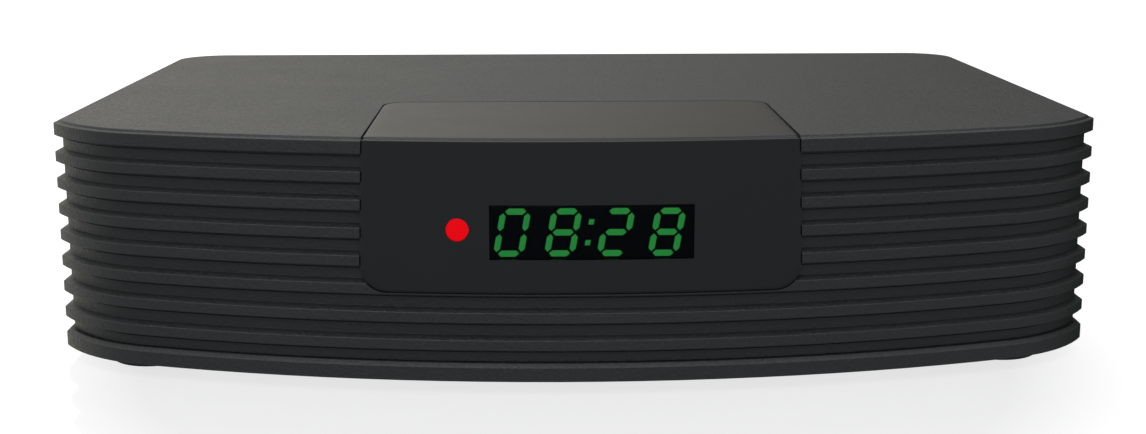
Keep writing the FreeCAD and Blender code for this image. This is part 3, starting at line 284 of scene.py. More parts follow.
# Finish of each material slot of the record: the material's common name, then the function that
# makes it, or its sRGB tint, roughness and metallic, its grain and lift in millimetres, and how
# much its tint varies.
# Plated and rolled metals are smooth, mouldings have a fine grain, and ferrite and ceramic look
# dull and dense.
SLOT_FINISHES = {
    "casing_plastic": ("grained moulded ABS", grained_casing),
    "bezel_plastic": ("satin moulded ABS", satin_bezel),
    "tinted_window": ("tinted polished acrylic", tinted_acrylic),
    "green_segments": ("lit green epoxy", lit_bars),
    "dark_segments": ("matt black ink", black_ink),
    "red_lens": ("lit red polycarbonate", lit_lens),
    "display_body": ("black moulded polycarbonate", "#020303", 0.6, 0.0, 0.3, 0.0, 0.1),
    "clear_resin": ("clear cast epoxy", "#D8D8D0", 0.2, 0.0, 0.5, 0.0, 0.05),
    "eye_resin": ("smoked cast epoxy", "#120A10", 0.2, 0.0, 0.5, 0.0, 0.1),
    "board_laminate": ("solder masked glass laminate", "#1D5A37", 0.35, 0.0, 0.25, 0.01, 0.2),
    "black_moulding": ("black moulded nylon", "#141414", 0.5, 0.0, 0.25, 0.008, 0.12),
    "white_insulator": ("white moulded polypropylene", "#E6E4DA", 0.45, 0.0, 0.4, 0.004, 0.04),
    "orange_insulator": ("orange moulded polypropylene", "#E0701C", 0.45, 0.0, 0.4, 0.004, 0.08),
    "rubber_feet": ("black moulded rubber", "#151515", 0.75, 0.0, 0.35, 0.015, 0.15),
    "plated_steel": ("tinned rolled steel", "#B4B4B0", 0.32, 1.0, 0.4, 0.002, 0.08),
    "nickel_brass": ("nickel plated turned brass", "#C8C4B8", 0.24, 1.0, 0.3, 0.001, 0.06),
    "zinc_screws": ("zinc plated steel", "#8F9092", 0.38, 1.0, 0.3, 0.003, 0.12),
    "gold_contacts": ("gilded spring bronze", "#D6B25C", 0.28, 1.0, 0.3, 0.001, 0.08),
    "extruded_aluminium": ("plain extruded aluminium", "#AEB0B2", 0.4, 1.0, 0.3, 0.003, 0.1),
    "panel_steel": ("powder coated steel", "#1B1C1D", 0.6, 0.0, 0.45, 0.02, 0.12),
    "chip_epoxy": ("black moulded epoxy", "#15161A", 0.6, 0.0, 0.2, 0.006, 0.14),
    "pad_silicone": ("grey cast silicone", "#8796A8", 0.7, 0.0, 0.4, 0.01, 0.08),
    "ferrite": ("pressed ferrite", "#3B3D40", 0.65, 0.0, 0.25, 0.01, 0.18),
    "ceramic": ("fired ceramic", "#B39368", 0.5, 0.0, 0.2, 0.003, 0.12),
    "rocker_plastic": ("polished moulded nylon", "#0E0E0E", 0.22, 0.0, 0.3, 0.001, 0.08),
}


def slot_finish(slot):
    """Material for a material slot of the record, made on its first use."""
    name, source, *values = SLOT_FINISHES[slot]
    material = bpy.data.materials.get(name)
    if material is None:
        material = source(name) if callable(source) else finish(name, linear(source), *values)
    return material


def node_slots():
    """Material slot of each CAD node, from the record."""
    return {part["node"]: part["material_slot"] for part in frame["record"]["subparts"]}


def mesh_of(name, patches):
    """Mesh of several grids of points, welded where they meet.

    A patch is a grid of points in metres, which of its quads to keep or None, and whether it is
    turned over. Unturned, its outside is on the left on the way down a column.
    """
    points, faces, start = [], [], 0
    for grid, keep, flip in patches:
        rows, columns = grid.shape[:2]
        index = np.arange(rows * columns).reshape(rows, columns) + start
        quads = np.stack([index[:-1, :-1], index[1:, :-1], index[1:, 1:], index[:-1, 1:]], axis=-1)
        quads = quads.reshape(-1, 4) if keep is None else quads[keep]
        faces.append(quads[:, ::-1] if flip else quads)
        points.append(grid.reshape(-1, 3))
        start += rows * columns
    mesh = bpy.data.meshes.new(name)
    mesh.from_pydata(np.concatenate(points).tolist(), [], np.concatenate(faces).tolist())
    return welded(mesh)


def welded(mesh):
    """The mesh with its doubles merged and its loose points gone."""
    work = bmesh.new()
    work.from_mesh(mesh)
    bmesh.ops.remove_doubles(work, verts=work.verts, dist=0.5e-6)
    bmesh.ops.delete(work, geom=[v for v in work.verts if not v.link_faces], context="VERTS")
    work.to_mesh(mesh)
    work.free()
    return mesh


def slimmed(mesh, share):
    """The mesh with each separate body drawn in to this share of its width and height."""
    work = bmesh.new()
    work.from_mesh(mesh)
    waiting = set(work.verts)
    while waiting:
        island = [waiting.pop()]
        for vert in island:
            for edge in vert.link_edges:
                other = edge.other_vert(vert)
                if other in waiting:
                    waiting.discard(other)
                    island.append(other)
        middle = sum((vert.co for vert in island), Vector()) / len(island)
        for vert in island:
            vert.co.x = middle.x + share * (vert.co.x - middle.x)
            vert.co.z = middle.z + share * (vert.co.z - middle.z)
    work.to_mesh(mesh)
    work.free()
    return mesh


def place_piece(name, mesh, slot, body, *replaced, sharp=30.0):
    """Piece with this mesh, smooth but for its sharp edges, that rides a body and stands for nodes."""
    mesh.shade_smooth()
    mesh.set_sharp_from_angle(angle=math.radians(sharp))
    piece = bpy.data.objects.new(name, mesh)
    bpy.context.scene.collection.objects.link(piece)
    mesh.materials.clear()
    mesh.materials.append(slot_finish(slot))
    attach(piece, body)
    if replaced:
        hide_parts(*replaced)
    return piece


def place_surface(name, patches, slot, *replaced, sharp=30.0):
    """Piece made of grids of points that rides the receiver's own body."""
    return place_piece(name, mesh_of(name, patches), slot, "receiver", *replaced, sharp=sharp)


def node_copy(node_name):
    """Copy of a CAD node's mesh with its doubles merged and without the normals it came with."""
    mesh = frame["nodes"][node_name].data.copy()
    mesh.name = node_name + "_surface"
    carried = mesh.attributes.get("custom_normal")
    if carried:
        mesh.attributes.remove(carried)
    return welded(mesh)


def bow_radius(casing):
    """Radius of the bowed front: the shoulder and corner arcs end it flush with the sides."""
    turn = math.sin(casing.shoulder_angle)
    shoulder, corner = casing.shoulder_radius, casing.corner_radius
    reach = casing.width / 2 - corner - (shoulder - corner) * turn
    return shoulder + reach / math.sin(casing.bow_angle)


def half_outline(casing, first, inset):
    """Points along the right half of the outline, a row for each inset, from the bow to the rear middle.

    Each point is centre + radius * (sin angle, -cos angle). The bow, the shoulder arc, the small
    corner and the back corner follow each other, each smaller by the inset, and on the straight
    runs the centre and the radius slide from one arc to the next. first is where each row starts,
    an angle on the bow.
    """
    bow = bow_radius(casing)
    quarter = math.pi / 2
    shoulder_x = (bow - casing.shoulder_radius) * math.sin(casing.bow_angle)
    shoulder_y = cover_low[1] + bow - (bow - casing.shoulder_radius) * math.cos(casing.bow_angle)
    shoulder = casing.shoulder_radius - inset
    corner = np.maximum(casing.corner_radius - inset, casing.least_radius)
    corner_x = casing.width / 2 - inset - corner
    meet = np.arcsin((corner_x - shoulder_x) / (shoulder - corner))
    corner_y = shoulder_y - (shoulder - corner) * np.cos(meet)
    back = casing.back_radius - inset
    back_x = casing.width / 2 - casing.back_radius
    back_y = cover_low[1] + casing.depth - casing.back_radius
    on_bow = (0.0, cover_low[1] + bow, bow - inset)
    on_shoulder = (shoulder_x, shoulder_y, shoulder)
    on_corner = (corner_x, corner_y, corner)
    on_back, at_opening, in_middle = ((x, back_y, back) for x in (back_x, casing.opening, 0.0))
    runs = (((*on_bow, first), (*on_bow, casing.bow_angle), 20),
            ((*on_shoulder, casing.bow_angle), (*on_shoulder, meet), 26),
            ((*on_corner, meet), (*on_corner, quarter), 8),
            ((*on_corner, quarter), (*on_back, quarter), 6),
            ((*on_back, quarter), (*on_back, 2 * quarter), 22),
            ((*on_back, 2 * quarter), (*at_opening, 2 * quarter), 2),
            ((*at_opening, 2 * quarter), (*in_middle, 2 * quarter), OPENING_POINTS))
    blocks = []
    for number, (start, end, count) in enumerate(runs):
        share = np.linspace(0.0, 1.0, count, endpoint=number == len(runs) - 1)
        blocks.append(np.stack([np.broadcast_to(a, inset.shape)[:, None] * (1 - share)
                                + np.broadcast_to(b, inset.shape)[:, None] * share
                                for a, b in zip(start, end)]))
    x, y, radius, angle = np.concatenate(blocks, axis=2)
    return x + radius * np.sin(angle), y - radius * np.cos(angle)


def wall_points(casing, first, inset, height):
    """Grid of wall points: each row is the outline moved in by its inset, at its height."""
    x, y = half_outline(casing, first, inset)
    return np.stack([x, y, np.broadcast_to(height[:, None], x.shape)], axis=-1)


def eased(corners, reaches):
    """Profile through the corners, each but the ends rounded over its reach along both legs.

    A rounded corner is (1-t)^2 * before + 2t(1-t) * corner + t^2 * after, between two points that
    hold the flats straight. A reach of 0 leaves it sharp.
    """
    corners = np.array(corners)
    path = [corners[0]]
    share = np.linspace(0.0, 1.0, 5)[:, None]
    for before, corner, after, reach in zip(corners, corners[1:], corners[2:], reaches):
        if not reach:
            path.append(corner)
            continue
        one, two = ((end - corner) / np.hypot(*(end - corner)) * reach for end in (before, after))
        path.append(corner + 1.4 * one)
        path.extend((1 - share) ** 2 * (corner + one) + 2 * share * (1 - share) * corner
                    + share ** 2 * (corner + two))
        path.append(corner + 1.4 * two)
    return np.array([*path, corners[-1]])


def top_edge(ledge, bevel, drop, fall):
    """Corners, as inset and height over the top plate, from the plate over a steep bevel and a narrow
    ledge to the face, and their reaches."""
    start = ledge + bevel + 0.1 * MM
    return ([(start, 0.0), (ledge + bevel, 0.0), (ledge, -drop), (0.0, -drop - fall)],
            [0.06 * MM, 0.05 * MM, 0.14 * MM])


def rib_profile(casing):
    """Inset and height down the wall: the top plate's edge, then for each rib its face, the shadow
    slot under it, the groove's floor and the slope that leads out to the next rib's face."""
    corners, reaches = top_edge(casing.plate_ledge, casing.plate_bevel, casing.plate_drop,
                                casing.plate_fall)
    corners = [(inset, casing.top + height) for inset, height in corners]
    floor, slot = casing.groove_depth, casing.groove_depth + casing.slot_depth
    for number in range(casing.ribs):
        bottom = casing.top - casing.top_rib - number * (casing.rib + casing.groove)
        following = bottom - casing.groove
        under = bottom - casing.slot
        corners += [(0.0, bottom), (slot, bottom), (slot, under), (floor, under)]
        reaches += [casing.ease, 0.0, 0.0, 0.0]
        if number < casing.ribs - 1:
            corners += [(floor, following), (0.0, following - casing.slope)]
            reaches += [casing.ease / 2, casing.ease]
    corners += [(floor, cover_low[2]), (casing.wall, cover_low[2])]
    path = eased(corners, [*reaches, 0.0])
    return path[:, 0], path[:, 1]


def with_heights(inset, height, extra):
    """The profile with more points, at the extra heights, on its upright stretches."""
    for level in extra:
        after = np.nonzero((height[:-1] > level + 1e-9) & (height[1:] < level - 1e-9))[0]
        for place in after[:1]:
            share = (height[place] - level) / (height[place] - height[place + 1])
            inset = np.insert(inset, place + 1, inset[place] + share * (inset[place + 1] - inset[place]))
            height = np.insert(height, place + 1, level)
    return inset, height


def leaning(bezel, climb):
    """How far the bezel's sides lean in at this height over its lower edge."""
    return bezel.lean * np.clip(climb / (bezel_high[2] - bezel_low[2]), 0.0, 1.0)


def pocket_edge(bezel, side, height):
    """How far from the middle the casing starts beside the bezel: its side, drawn in at its corner."""
    half = bezel.half_width + side * bezel.offset + bezel.gap - leaning(bezel, height - bezel_low[2])
    radius = bezel.corner + bezel.gap
    below = np.clip((bezel_low[2] - bezel.gap + radius - height) / radius, 0.0, 1.0)
    return half - radius + radius * np.sqrt(1.0 - below ** 2)


def notch_points(bezel, side, count, start):
    """Half the notch in the top plate: back along its side, round its corner and to the middle."""
    half = bezel.half_width + side * bezel.offset + bezel.gap - bezel.lean
    rear = bezel_high[1] + bezel.gap
    radius = bezel.corner + bezel.gap
    turn = np.linspace(0.0, math.pi / 2, 25)
    x = np.concatenate([[half], half - radius + radius * np.cos(turn), [0.0]])
    y = np.concatenate([[start], rear - radius + radius * np.sin(turn), [rear]])
    along = np.concatenate([[0.0], np.cumsum(np.hypot(np.diff(x), np.diff(y)))])
    wanted = np.linspace(0.0, along[-1], count)
    return np.stack([np.interp(wanted, along, x), np.interp(wanted, along, y)], axis=-1)


def cover_patches(casing, bezel):
    """Grids of the cover: top plate and ribbed wall of each half, the walls of the bezel's pocket,
    the strip under the bezel, and the jambs and lintel of the rear opening."""
    bow = bow_radius(casing)
    pocket_floor = bezel_low[2] - bezel.gap
    radius = bezel.corner + bezel.gap
    lintel = casing.top - casing.lintel
    rear = cover_low[1] + casing.depth
    around = pocket_floor + radius * (1 - np.cos(np.linspace(0.0, math.pi / 2, 14)))
    inset, height = with_heights(*rib_profile(casing), [lintel, *around])
    under = height < lintel + 1e-7
    patches = []
    for side in (1, -1):
        edge = pocket_edge(bezel, side, height)
        wall = wall_points(casing, np.arcsin(edge / (bow - inset)), inset, height)
        notch = notch_points(bezel, side, wall.shape[1], wall[0, 0, 1])
        share = np.linspace(0.0, 1.0, 6)[:-1, None, None]
        plate = np.empty((len(share), wall.shape[1], 3))
        plate[..., :2] = (1 - share) * notch + share * wall[0, :, :2]
        plate[..., 2] = casing.top
        grid = np.concatenate([plate, wall])
        keep = np.ones((grid.shape[0] - 1, grid.shape[1] - 1), dtype=bool)
        keep[len(share):, -OPENING_POINTS + 1:][under[:-1]] = False
        in_pocket = height > pocket_floor - 1e-7
        cheek = wall[in_pocket][:, :1]
        cheek = np.concatenate([cheek, cheek + (0.0, bezel.skin, 0.0)], axis=1)
        step = np.stack([grid[0], grid[0] - (0.0, 0.0, bezel.skin)])
        jamb = np.zeros((int(under.sum()), 2, 3))
        jamb[..., 0] = casing.opening
        jamb[:, 0, 1] = rear - inset[under]
        jamb[:, 1, 1] = rear - casing.wall
        jamb[..., 2] = height[under][:, None]
        beam = np.zeros((2, 2, 3))
        beam[..., 0] = [0.0, casing.opening]
        beam[..., 1] = rear - np.array([[0.0], [casing.wall]])
        beam[..., 2] = lintel
        for points, mask, flip in ((grid, keep, False), (cheek, None, True), (step, None, True),
                                   (jamb, None, False), (beam, None, True)):
            patches.append((points * (side, 1, 1), mask, flip != (side < 0)))
    low = height < pocket_floor + 1e-7
    ends = [-pocket_edge(bezel, -1, height[low]), pocket_edge(bezel, 1, height[low])]
    turns = np.arcsin(np.stack(ends) / (bow - inset[low]))
    share = np.linspace(0.0, 1.0, 41)
    angle = turns[0][:, None] + share * (turns[1] - turns[0])[:, None]
    reach = (bow - inset[low])[:, None]
    strip = np.stack([reach * np.sin(angle), cover_low[1] + bow - reach * np.cos(angle),
                      np.broadcast_to(height[low][:, None], angle.shape)], axis=-1)
    sill = np.stack([strip[0] + (0.0, bezel.skin, 0.0), strip[0]])
    return patches + [(strip, None, False), (sill, None, False)]


def bezel_edge():
    """Distance along the bezel's top edge, from its front up to its tongue, with inset and height."""
    bezel = settings("bezel_sizes")
    corners, reaches = top_edge(bezel.ledge, bezel.drop_width, bezel.drop, 0.05 * MM)
    path = eased([*corners, (0.0, corners[-1][1] - 0.3 * MM)], reaches)[::-1]
    return np.concatenate([[0.0], np.cumsum(np.hypot(*np.diff(path, axis=0).T))]), path[:, 0], path[:, 1]


def bezel_spans():
    """How far up the bezel its top edge begins and ends, and where its tongue ends over the plate."""
    along, insets, heights = bezel_edge()
    rise = bezel_high[2] + heights[0] - bezel_low[2]
    over = rise + along[-1]
    return rise, over, over + bezel_high[1] - bezel_low[1] - insets[-1]


def bezel_sheet(x, climb, depth):
    """Points of the bezel from how far across and how far up and over they lie.

    climb runs up the bowed front, over the top edge and back over the top plate. depth moves a
    point in from the surface: towards the bow's centre on the front, down on the top.
    """
    bow = bow_radius(settings("casing_sizes"))
    along, insets, heights = bezel_edge()
    rise, over, full = bezel_spans()
    place = np.clip(climb - rise, 0.0, along[-1])
    turn = place / along[-1] * math.pi / 2
    inset = np.interp(place, along, insets) + depth * np.cos(turn)
    height = bezel_high[2] + np.interp(place, along, heights) - depth * np.sin(turn)
    height = np.where(climb < rise, bezel_low[2] + climb, height)
    angle = np.arcsin(x / bow)
    across = (bow - inset) * np.sin(angle)
    front = cover_low[1] + bow - (bow - inset) * np.cos(angle)
    share = np.clip((climb - over) / (full - over), 0.0, 1.0)
    across = np.where(climb > over, across + share * (x - across), across)
    y = np.where(climb > over, front + share * (bezel_high[1] - front), front)
    return np.stack([across, y, height], axis=-1)


def rim_of(grid):
    """Closed loop of the values round a grid: along its first row, up, back and down."""
    return np.concatenate([grid[0], grid[1:, -1], grid[-1, -2::-1], grid[-2::-1, 0]])


def window_span(bezel, clearance=0.0):
    """How far across, and how far up the bezel, the window's edges lie, less a clearance."""
    inset = bezel.flange + clearance
    return (window_low[0] + inset, window_high[0] - inset,
            window_low[2] + inset - bezel_low[2], window_high[2] - inset - bezel_low[2])


def lens_middle():
    """How far across, and how far up the bezel, the middle of the indicator lies."""
    return (lens_low[0] + lens_high[0]) / 2, (lens_low[2] + lens_high[2]) / 2 - bezel_low[2]


def bezel_patches(bezel):
    """Grids of the bezel: its sheet with the openings, its rounded rim and side walls, the square
    round the indicator drawn into a ring, and the walls of the window's opening."""
    rise, over, full = bezel_spans()
    rim = bezel.bevel
    corner = bezel.corner - rim
    left, right = bezel.offset - bezel.half_width + rim, bezel.offset + bezel.half_width - rim
    window_left, window_right, window_bottom, window_top = window_span(bezel)
    lens_x, lens_z = lens_middle()
    half = 3.0 * MM
    around_x, around_z = (np.linspace(middle - half, middle + half, 13) for middle in (lens_x, lens_z))
    turn = np.linspace(0.0, math.pi / 2, 11)
    low_rows = rim + corner * (1 - np.cos(turn))
    rows = np.unique(np.round(np.concatenate([
        low_rows, [window_bottom, window_top], around_z, np.linspace(low_rows[-1], rise, 22),
        rise + bezel_edge()[0], np.linspace(over, full - rim - corner, 18), full - low_rows]), 8))
    below = np.clip((rim + corner - rows) / corner, 0.0, 1.0)
    beyond = np.clip((rows - full + rim + corner) / corner, 0.0, 1.0)
    drawn = corner * (1 - np.sqrt(1 - np.maximum(below, beyond) ** 2))
    inner = np.unique(np.round(np.concatenate([
        around_x, [window_left, window_right],
        np.linspace(left + corner + bezel.lean, right - corner - bezel.lean, 49)]), 8))
    drawn = drawn + leaning(bezel, rows)
    first = (left + drawn)[:, None] + np.array([0.0, 0.5]) * (inner[0] - left - drawn)[:, None]
    last = inner[-1] + np.array([0.5, 1.0]) * (right - drawn - inner[-1])[:, None]
    x = np.concatenate([first, np.tile(inner, (len(rows), 1)), last], axis=1)
    climb = np.broadcast_to(rows[:, None], x.shape)
    mid_x, mid_climb = (x[:-1, :-1] + x[1:, 1:]) / 2, (climb[:-1] + climb[1:])[:, :-1] / 2
    in_window = ((mid_x > window_left) & (mid_x < window_right)
                 & (mid_climb > window_bottom) & (mid_climb < window_top))
    in_square = (np.abs(mid_x - lens_x) < half) & (np.abs(mid_climb - lens_z) < half)
    sheet = bezel_sheet(x, climb, 0.0)
    patches = [(sheet, ~(in_window | in_square), True)]
    loop_x, loop_climb = rim_of(x), rim_of(climb)
    inwards = corner + leaning(bezel, loop_climb)
    centre_x = np.clip(loop_x, left + inwards, right - inwards)
    centre_climb = np.clip(loop_climb, rim + corner, full - rim - corner)
    out = np.stack([loop_x - centre_x, loop_climb - centre_climb])
    out = out / np.maximum(np.hypot(*out), 1e-9)
    reach = rim * np.array([0.0, 0.09, 0.9, 0.98, 1.0, 1.0])[:, None]
    depth = np.append(bezel.bevel_depth * np.array([0.0, 0.04, 0.86, 0.95, 1.08]), bezel.skin)[:, None]
    edge = bezel_sheet(loop_x + reach * out[0], loop_climb + reach * out[1], depth)
    on_top = loop_climb > over
    edge[:, on_top, 2] = np.minimum(edge[:, on_top, 2], bezel_high[2] - depth)
    edge[-1, on_top, 2] = bezel_high[2] - TONGUE_DEPTH
    patches.append((edge, None, False))
    window_x = inner[(inner >= window_left - 1e-7) & (inner <= window_right + 1e-7)]
    window_rows = rows[(rows >= window_bottom - 1e-7) & (rows <= window_top + 1e-7)]
    patches.append((frame_of(window_x, window_rows, np.array([0.0, OPENING_DEPTH])), None, False))
    square_x, square_z = (rim_of(values) for values in np.meshgrid(around_x, around_z))
    angle = np.arctan2(square_z - lens_z, square_x - lens_x)
    hole = bezel.lens_radius + 0.08 * MM
    radius = np.hypot(square_x - lens_x, square_z - lens_z)
    share = np.linspace(0.0, 1.0, 6)[:, None]
    radius = radius * (1 - share) + hole * share
    radius = np.concatenate([radius, radius[-1:]])
    sunk = np.concatenate([np.zeros(6), [PANE_DEPTH]])[:, None]
    ring = bezel_sheet(lens_x + radius * np.cos(angle), lens_z + radius * np.sin(angle), sunk)
    patches.append((ring, None, True))
    return patches


def frame_of(across, climbs, depths):
    """Walls of a rectangular opening: its edge at each depth, with the given points on its sides."""
    x, climb = (rim_of(values) for values in np.meshgrid(across, climbs))
    return bezel_sheet(x, climb, depths[:, None])


def pane_patches(bezel):
    """Window pane: a sheet that follows the bow, flush with the bezel, its finely rounded edges and
    its back."""
    edge = bezel.window_edge
    left, right, bottom, top = window_span(bezel, 0.05 * MM)
    across, climbs = np.linspace(left + edge, right - edge, 33), np.linspace(bottom + edge, top - edge, 9)
    face = bezel_sheet(*np.meshgrid(across, climbs), 0.0)
    turn = np.linspace(0.0, math.pi / 2, 4)
    reach = np.concatenate([edge * np.sin(turn), [edge]])
    depth = np.concatenate([edge * (1 - np.cos(turn)), [PANE_DEPTH]])
    rings = []
    for grown, sunk in zip(reach, depth):
        spread = across + grown * np.sign(across - across.mean()) * np.isin(across, across[[0, -1]])
        raised = climbs + grown * np.sign(climbs - climbs.mean()) * np.isin(climbs, climbs[[0, -1]])
        rings.append(frame_of(spread, raised, np.array([sunk]))[0])
    back = bezel_sheet(*np.meshgrid(across, climbs), PANE_DEPTH)
    return [(face, None, True), (np.stack(rings), None, False), (back, None, False)]


def ink_patches(bezel):
    """Black ink on the pane's four edges, seen from inside: a ring from its face to its back."""
    left, right, bottom, top = window_span(bezel, 0.08 * MM)
    ring = frame_of(np.linspace(left, right, 33), np.linspace(bottom, top, 9), np.array([0.03, 0.78]) * MM)
    return [(ring, None, False)]


def lens_patches(bezel):
    """Round lens on the bow: its crown falls as the square of the radius, then a rounded edge."""
    centre_x, centre_z = lens_middle()
    share = np.concatenate([np.linspace(1e-4, 0.94, 10), [0.97, 0.99, 1.0, 1.0]])
    depth = -bezel.lens_crown * (1 - share ** 2)
    depth[-4:] = 0.0, 0.03 * MM, 0.08 * MM, PANE_DEPTH
    angle = np.linspace(0.0, 2 * math.pi, 65)
    radius = (share * bezel.lens_radius)[:, None]
    grid = bezel_sheet(centre_x + radius * np.cos(angle), centre_z + radius * np.sin(angle), depth[:, None])
    return [(grid, None, False)]


def turned(profile, centre, steps=65):
    """Surface turned about an upright axis through centre: profile holds radius and height."""
    angle = np.linspace(0.0, 2 * math.pi, steps)
    radius, height = profile[:, :1], profile[:, 1:]
    return np.stack([radius * np.cos(angle), radius * np.sin(angle),
                     np.broadcast_to(height, (len(profile), steps))], axis=-1) + np.array(centre)


def foot_profile(low, high, sizes):
    """Radius and height of a rubber foot: a shallow dish, a flat ring, a rounded edge and the side."""
    radius = (high[0] - low[0]) / 2
    top = high[2] - 0.02 * MM
    turn = np.linspace(0.0, math.pi / 2, 8)
    dish, depth, edge = sizes.dish_radius, sizes.dish_depth, sizes.edge_round
    rows = [(1e-6, depth), (dish * 0.8, depth), (dish, 0.0), (radius - edge, 0.0)]
    rows += list(zip(radius - edge + edge * np.sin(turn), edge * (1 - np.cos(turn))))
    return np.array(rows + [(radius, top), (1e-6, top)])


def thread_points(low, high, sizes):
    """Threaded barrel: the radius falls and rises with the distance along it less the turn, so the
    thread winds round; it fades out at both ends, and the mouth turns in to the bore."""
    middle_x, middle_z = (low[0] + high[0]) / 2, (low[2] + high[2]) / 2
    radius = (high[0] - low[0]) / 2
    neck, step, chamfer, run_out = 5.3 * MM, 0.16 * MM, 0.25 * MM, 0.6 * MM
    start, end = low[1] + neck, high[1]
    along = np.linspace(start, end - chamfer, 110)[:, None]
    angle = np.linspace(0.0, 2 * math.pi, 73)
    wave = (along / sizes.pitch - angle / (2 * math.pi)) % 1.0
    tooth = np.clip(np.abs(2 * wave - 1) * 1.5 - 0.25, 0.0, 1.0)
    fade = np.clip(np.minimum(along - start, end - along) / run_out, 0.0, 1.0)
    reach = radius - sizes.depth * tooth * fade
    mouth = np.array([(radius - chamfer, end), (sizes.bore + 0.2 * MM, end),
                      (sizes.bore, end - 0.2 * MM), (sizes.bore, start)])
    first = np.array([(radius - step, low[1] + 0.01 * MM), (radius - step, start)])
    level = np.zeros_like(angle)
    radii = np.concatenate([first[:, :1] + level, reach, mouth[:, :1] + level])
    places = np.concatenate([first[:, 1:] + level, along + level, mouth[:, 1:] + level])
    return np.stack([middle_x + radii * np.cos(angle), places, middle_z + radii * np.sin(angle)], axis=-1)


class RECEIVER_OT_cover(bpy.types.Operator):
    """Makes the ribbed cover with its top plate, pocket and rear opening."""
    bl_idname = "receiver.cover"
    bl_label = "Ribbed cover"

    def execute(self, context):
        patches = cover_patches(settings("casing_sizes"), settings("bezel_sizes"))
        place_surface("ribbed_cover", patches, "casing_plastic", "top_cover")
        return {"FINISHED"}


class RECEIVER_OT_bezel(bpy.types.Operator):
    """Makes the smooth bezel over the front and the top."""
    bl_idname = "receiver.bezel"
    bl_label = "Front bezel"

    def execute(self, context):
        patches = bezel_patches(settings("bezel_sizes"))
        place_surface("satin_bezel", patches, "bezel_plastic", "front_bezel")
        return {"FINISHED"}


class RECEIVER_OT_display(bpy.types.Operator):
    """Makes the window pane with its inked edge, the lit bars behind it and the indicator's lens."""
    bl_idname = "receiver.display"
    bl_label = "Window and indicator"

    def execute(self, context):
        bezel = settings("bezel_sizes")
        place_surface("window_pane", pane_patches(bezel), "tinted_window", "display_window")
        place_piece("lit_bars", slimmed(node_copy("lit_segments"), BAR_SHARE), "green_segments",
                    "receiver", "lit_segments")
        place_surface("window_edge_ink", ink_patches(bezel), "dark_segments")
        place_surface("indicator_crown", lens_patches(bezel), "red_lens", "indicator_lens")
        return {"FINISHED"}


class RECEIVER_OT_tray(bpy.types.Operator):
    """Makes the base tray's surface from its node, smooth over its curves."""
    bl_idname = "receiver.tray"
    bl_label = "Base tray"

    def execute(self, context):
        place_piece("tray_surface", node_copy("base_tray"), "casing_plastic", "receiver", "base_tray",
                    sharp=40.0)
        return {"FINISHED"}


class RECEIVER_OT_feet(bpy.types.Operator):
    """Makes the four rubber feet."""
    bl_idname = "receiver.feet"
    bl_label = "Rubber feet"

    def execute(self, context):
        for name in ("foot_front_left", "foot_front_right", "foot_back_left", "foot_back_right"):
            low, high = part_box(name)
            centre = ((low[0] + high[0]) / 2, (low[1] + high[1]) / 2, 0.0)
            grid = turned(foot_profile(low, high, settings("foot_sizes")), centre)
            place_surface(name + "_rubber", [(grid, None, True)], "rubber_feet", name)
        return {"FINISHED"}


class RECEIVER_OT_aerials(bpy.types.Operator):
    """Makes the threaded barrels of the two aerial sockets."""
    bl_idname = "receiver.aerials"
    bl_label = "Aerial sockets"

    def execute(self, context):
        low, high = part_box("aerial_shells")
        height = high[2] - low[2]
        patches = []
        for left in (low[0], high[0] - height):
            grid = thread_points((left, low[1], low[2]), (left + height, high[1], high[2]),
                                 settings("thread_sizes"))
            patches.append((grid, None, True))
        place_surface("aerial_threads", patches, "nickel_brass", "aerial_shells", sharp=50.0)
        return {"FINISHED"}


class RECEIVER_OT_sockets(bpy.types.Operator):
    """Makes the surfaces of the other sockets and of the switch from their nodes, with eased edges."""
    bl_idname = "receiver.sockets"
    bl_label = "Sockets and switch"

    def execute(self, context):
        widths_mm = {
            "aerial_nuts": 0.15, "aerial_washers": 0.08, "aerial_insulators": 0.1,
            "aerial_contacts": 0.05, "phono_block": 0.15, "phono_shell": 0.08, "phono_insert": 0.12,
            "av_jack": 0.15, "video_socket": 0.08, "data_socket": 0.08, "network_jack": 0.15,
            "power_jack": 0.15, "power_pin": 0.05, "switch_housing": 0.12, "power_rocker": 0.3,
            "rear_panel": 0.1}
        slots = node_slots()
        for name, width in widths_mm.items():
            body = "rocker" if name == "power_rocker" else "receiver"
            piece = place_piece(name + "_surface", node_copy(name), slots[name], body, name)
            bevel = piece.modifiers.new("eased edges", "BEVEL")
            bevel.width = width * MM
            bevel.segments = 2
            bevel.limit_method = "ANGLE"
            bevel.angle_limit = math.radians(40.0)
        return {"FINISHED"}


class RECEIVER_OT_finishes(bpy.types.Operator):
    """Gives each CAD node the finish of its material slot."""
    bl_idname = "receiver.finishes"
    bl_label = "Finishes"

    def execute(self, context):
        slots = node_slots()
        for name, piece in frame["nodes"].items():
            piece.data.materials.clear()
            piece.data.materials.append(slot_finish(slots[name]))
        return {"FINISHED"}


class RECEIVER_OT_stage(bpy.types.Operator):
    """Makes the pale floor, the soft light and the camera."""
    bl_idname = "receiver.stage"
    bl_label = "Stage"

    def execute(self, context):
        make_floor()
        make_sky()
        make_lights()
        make_camera()
        return {"FINISHED"}


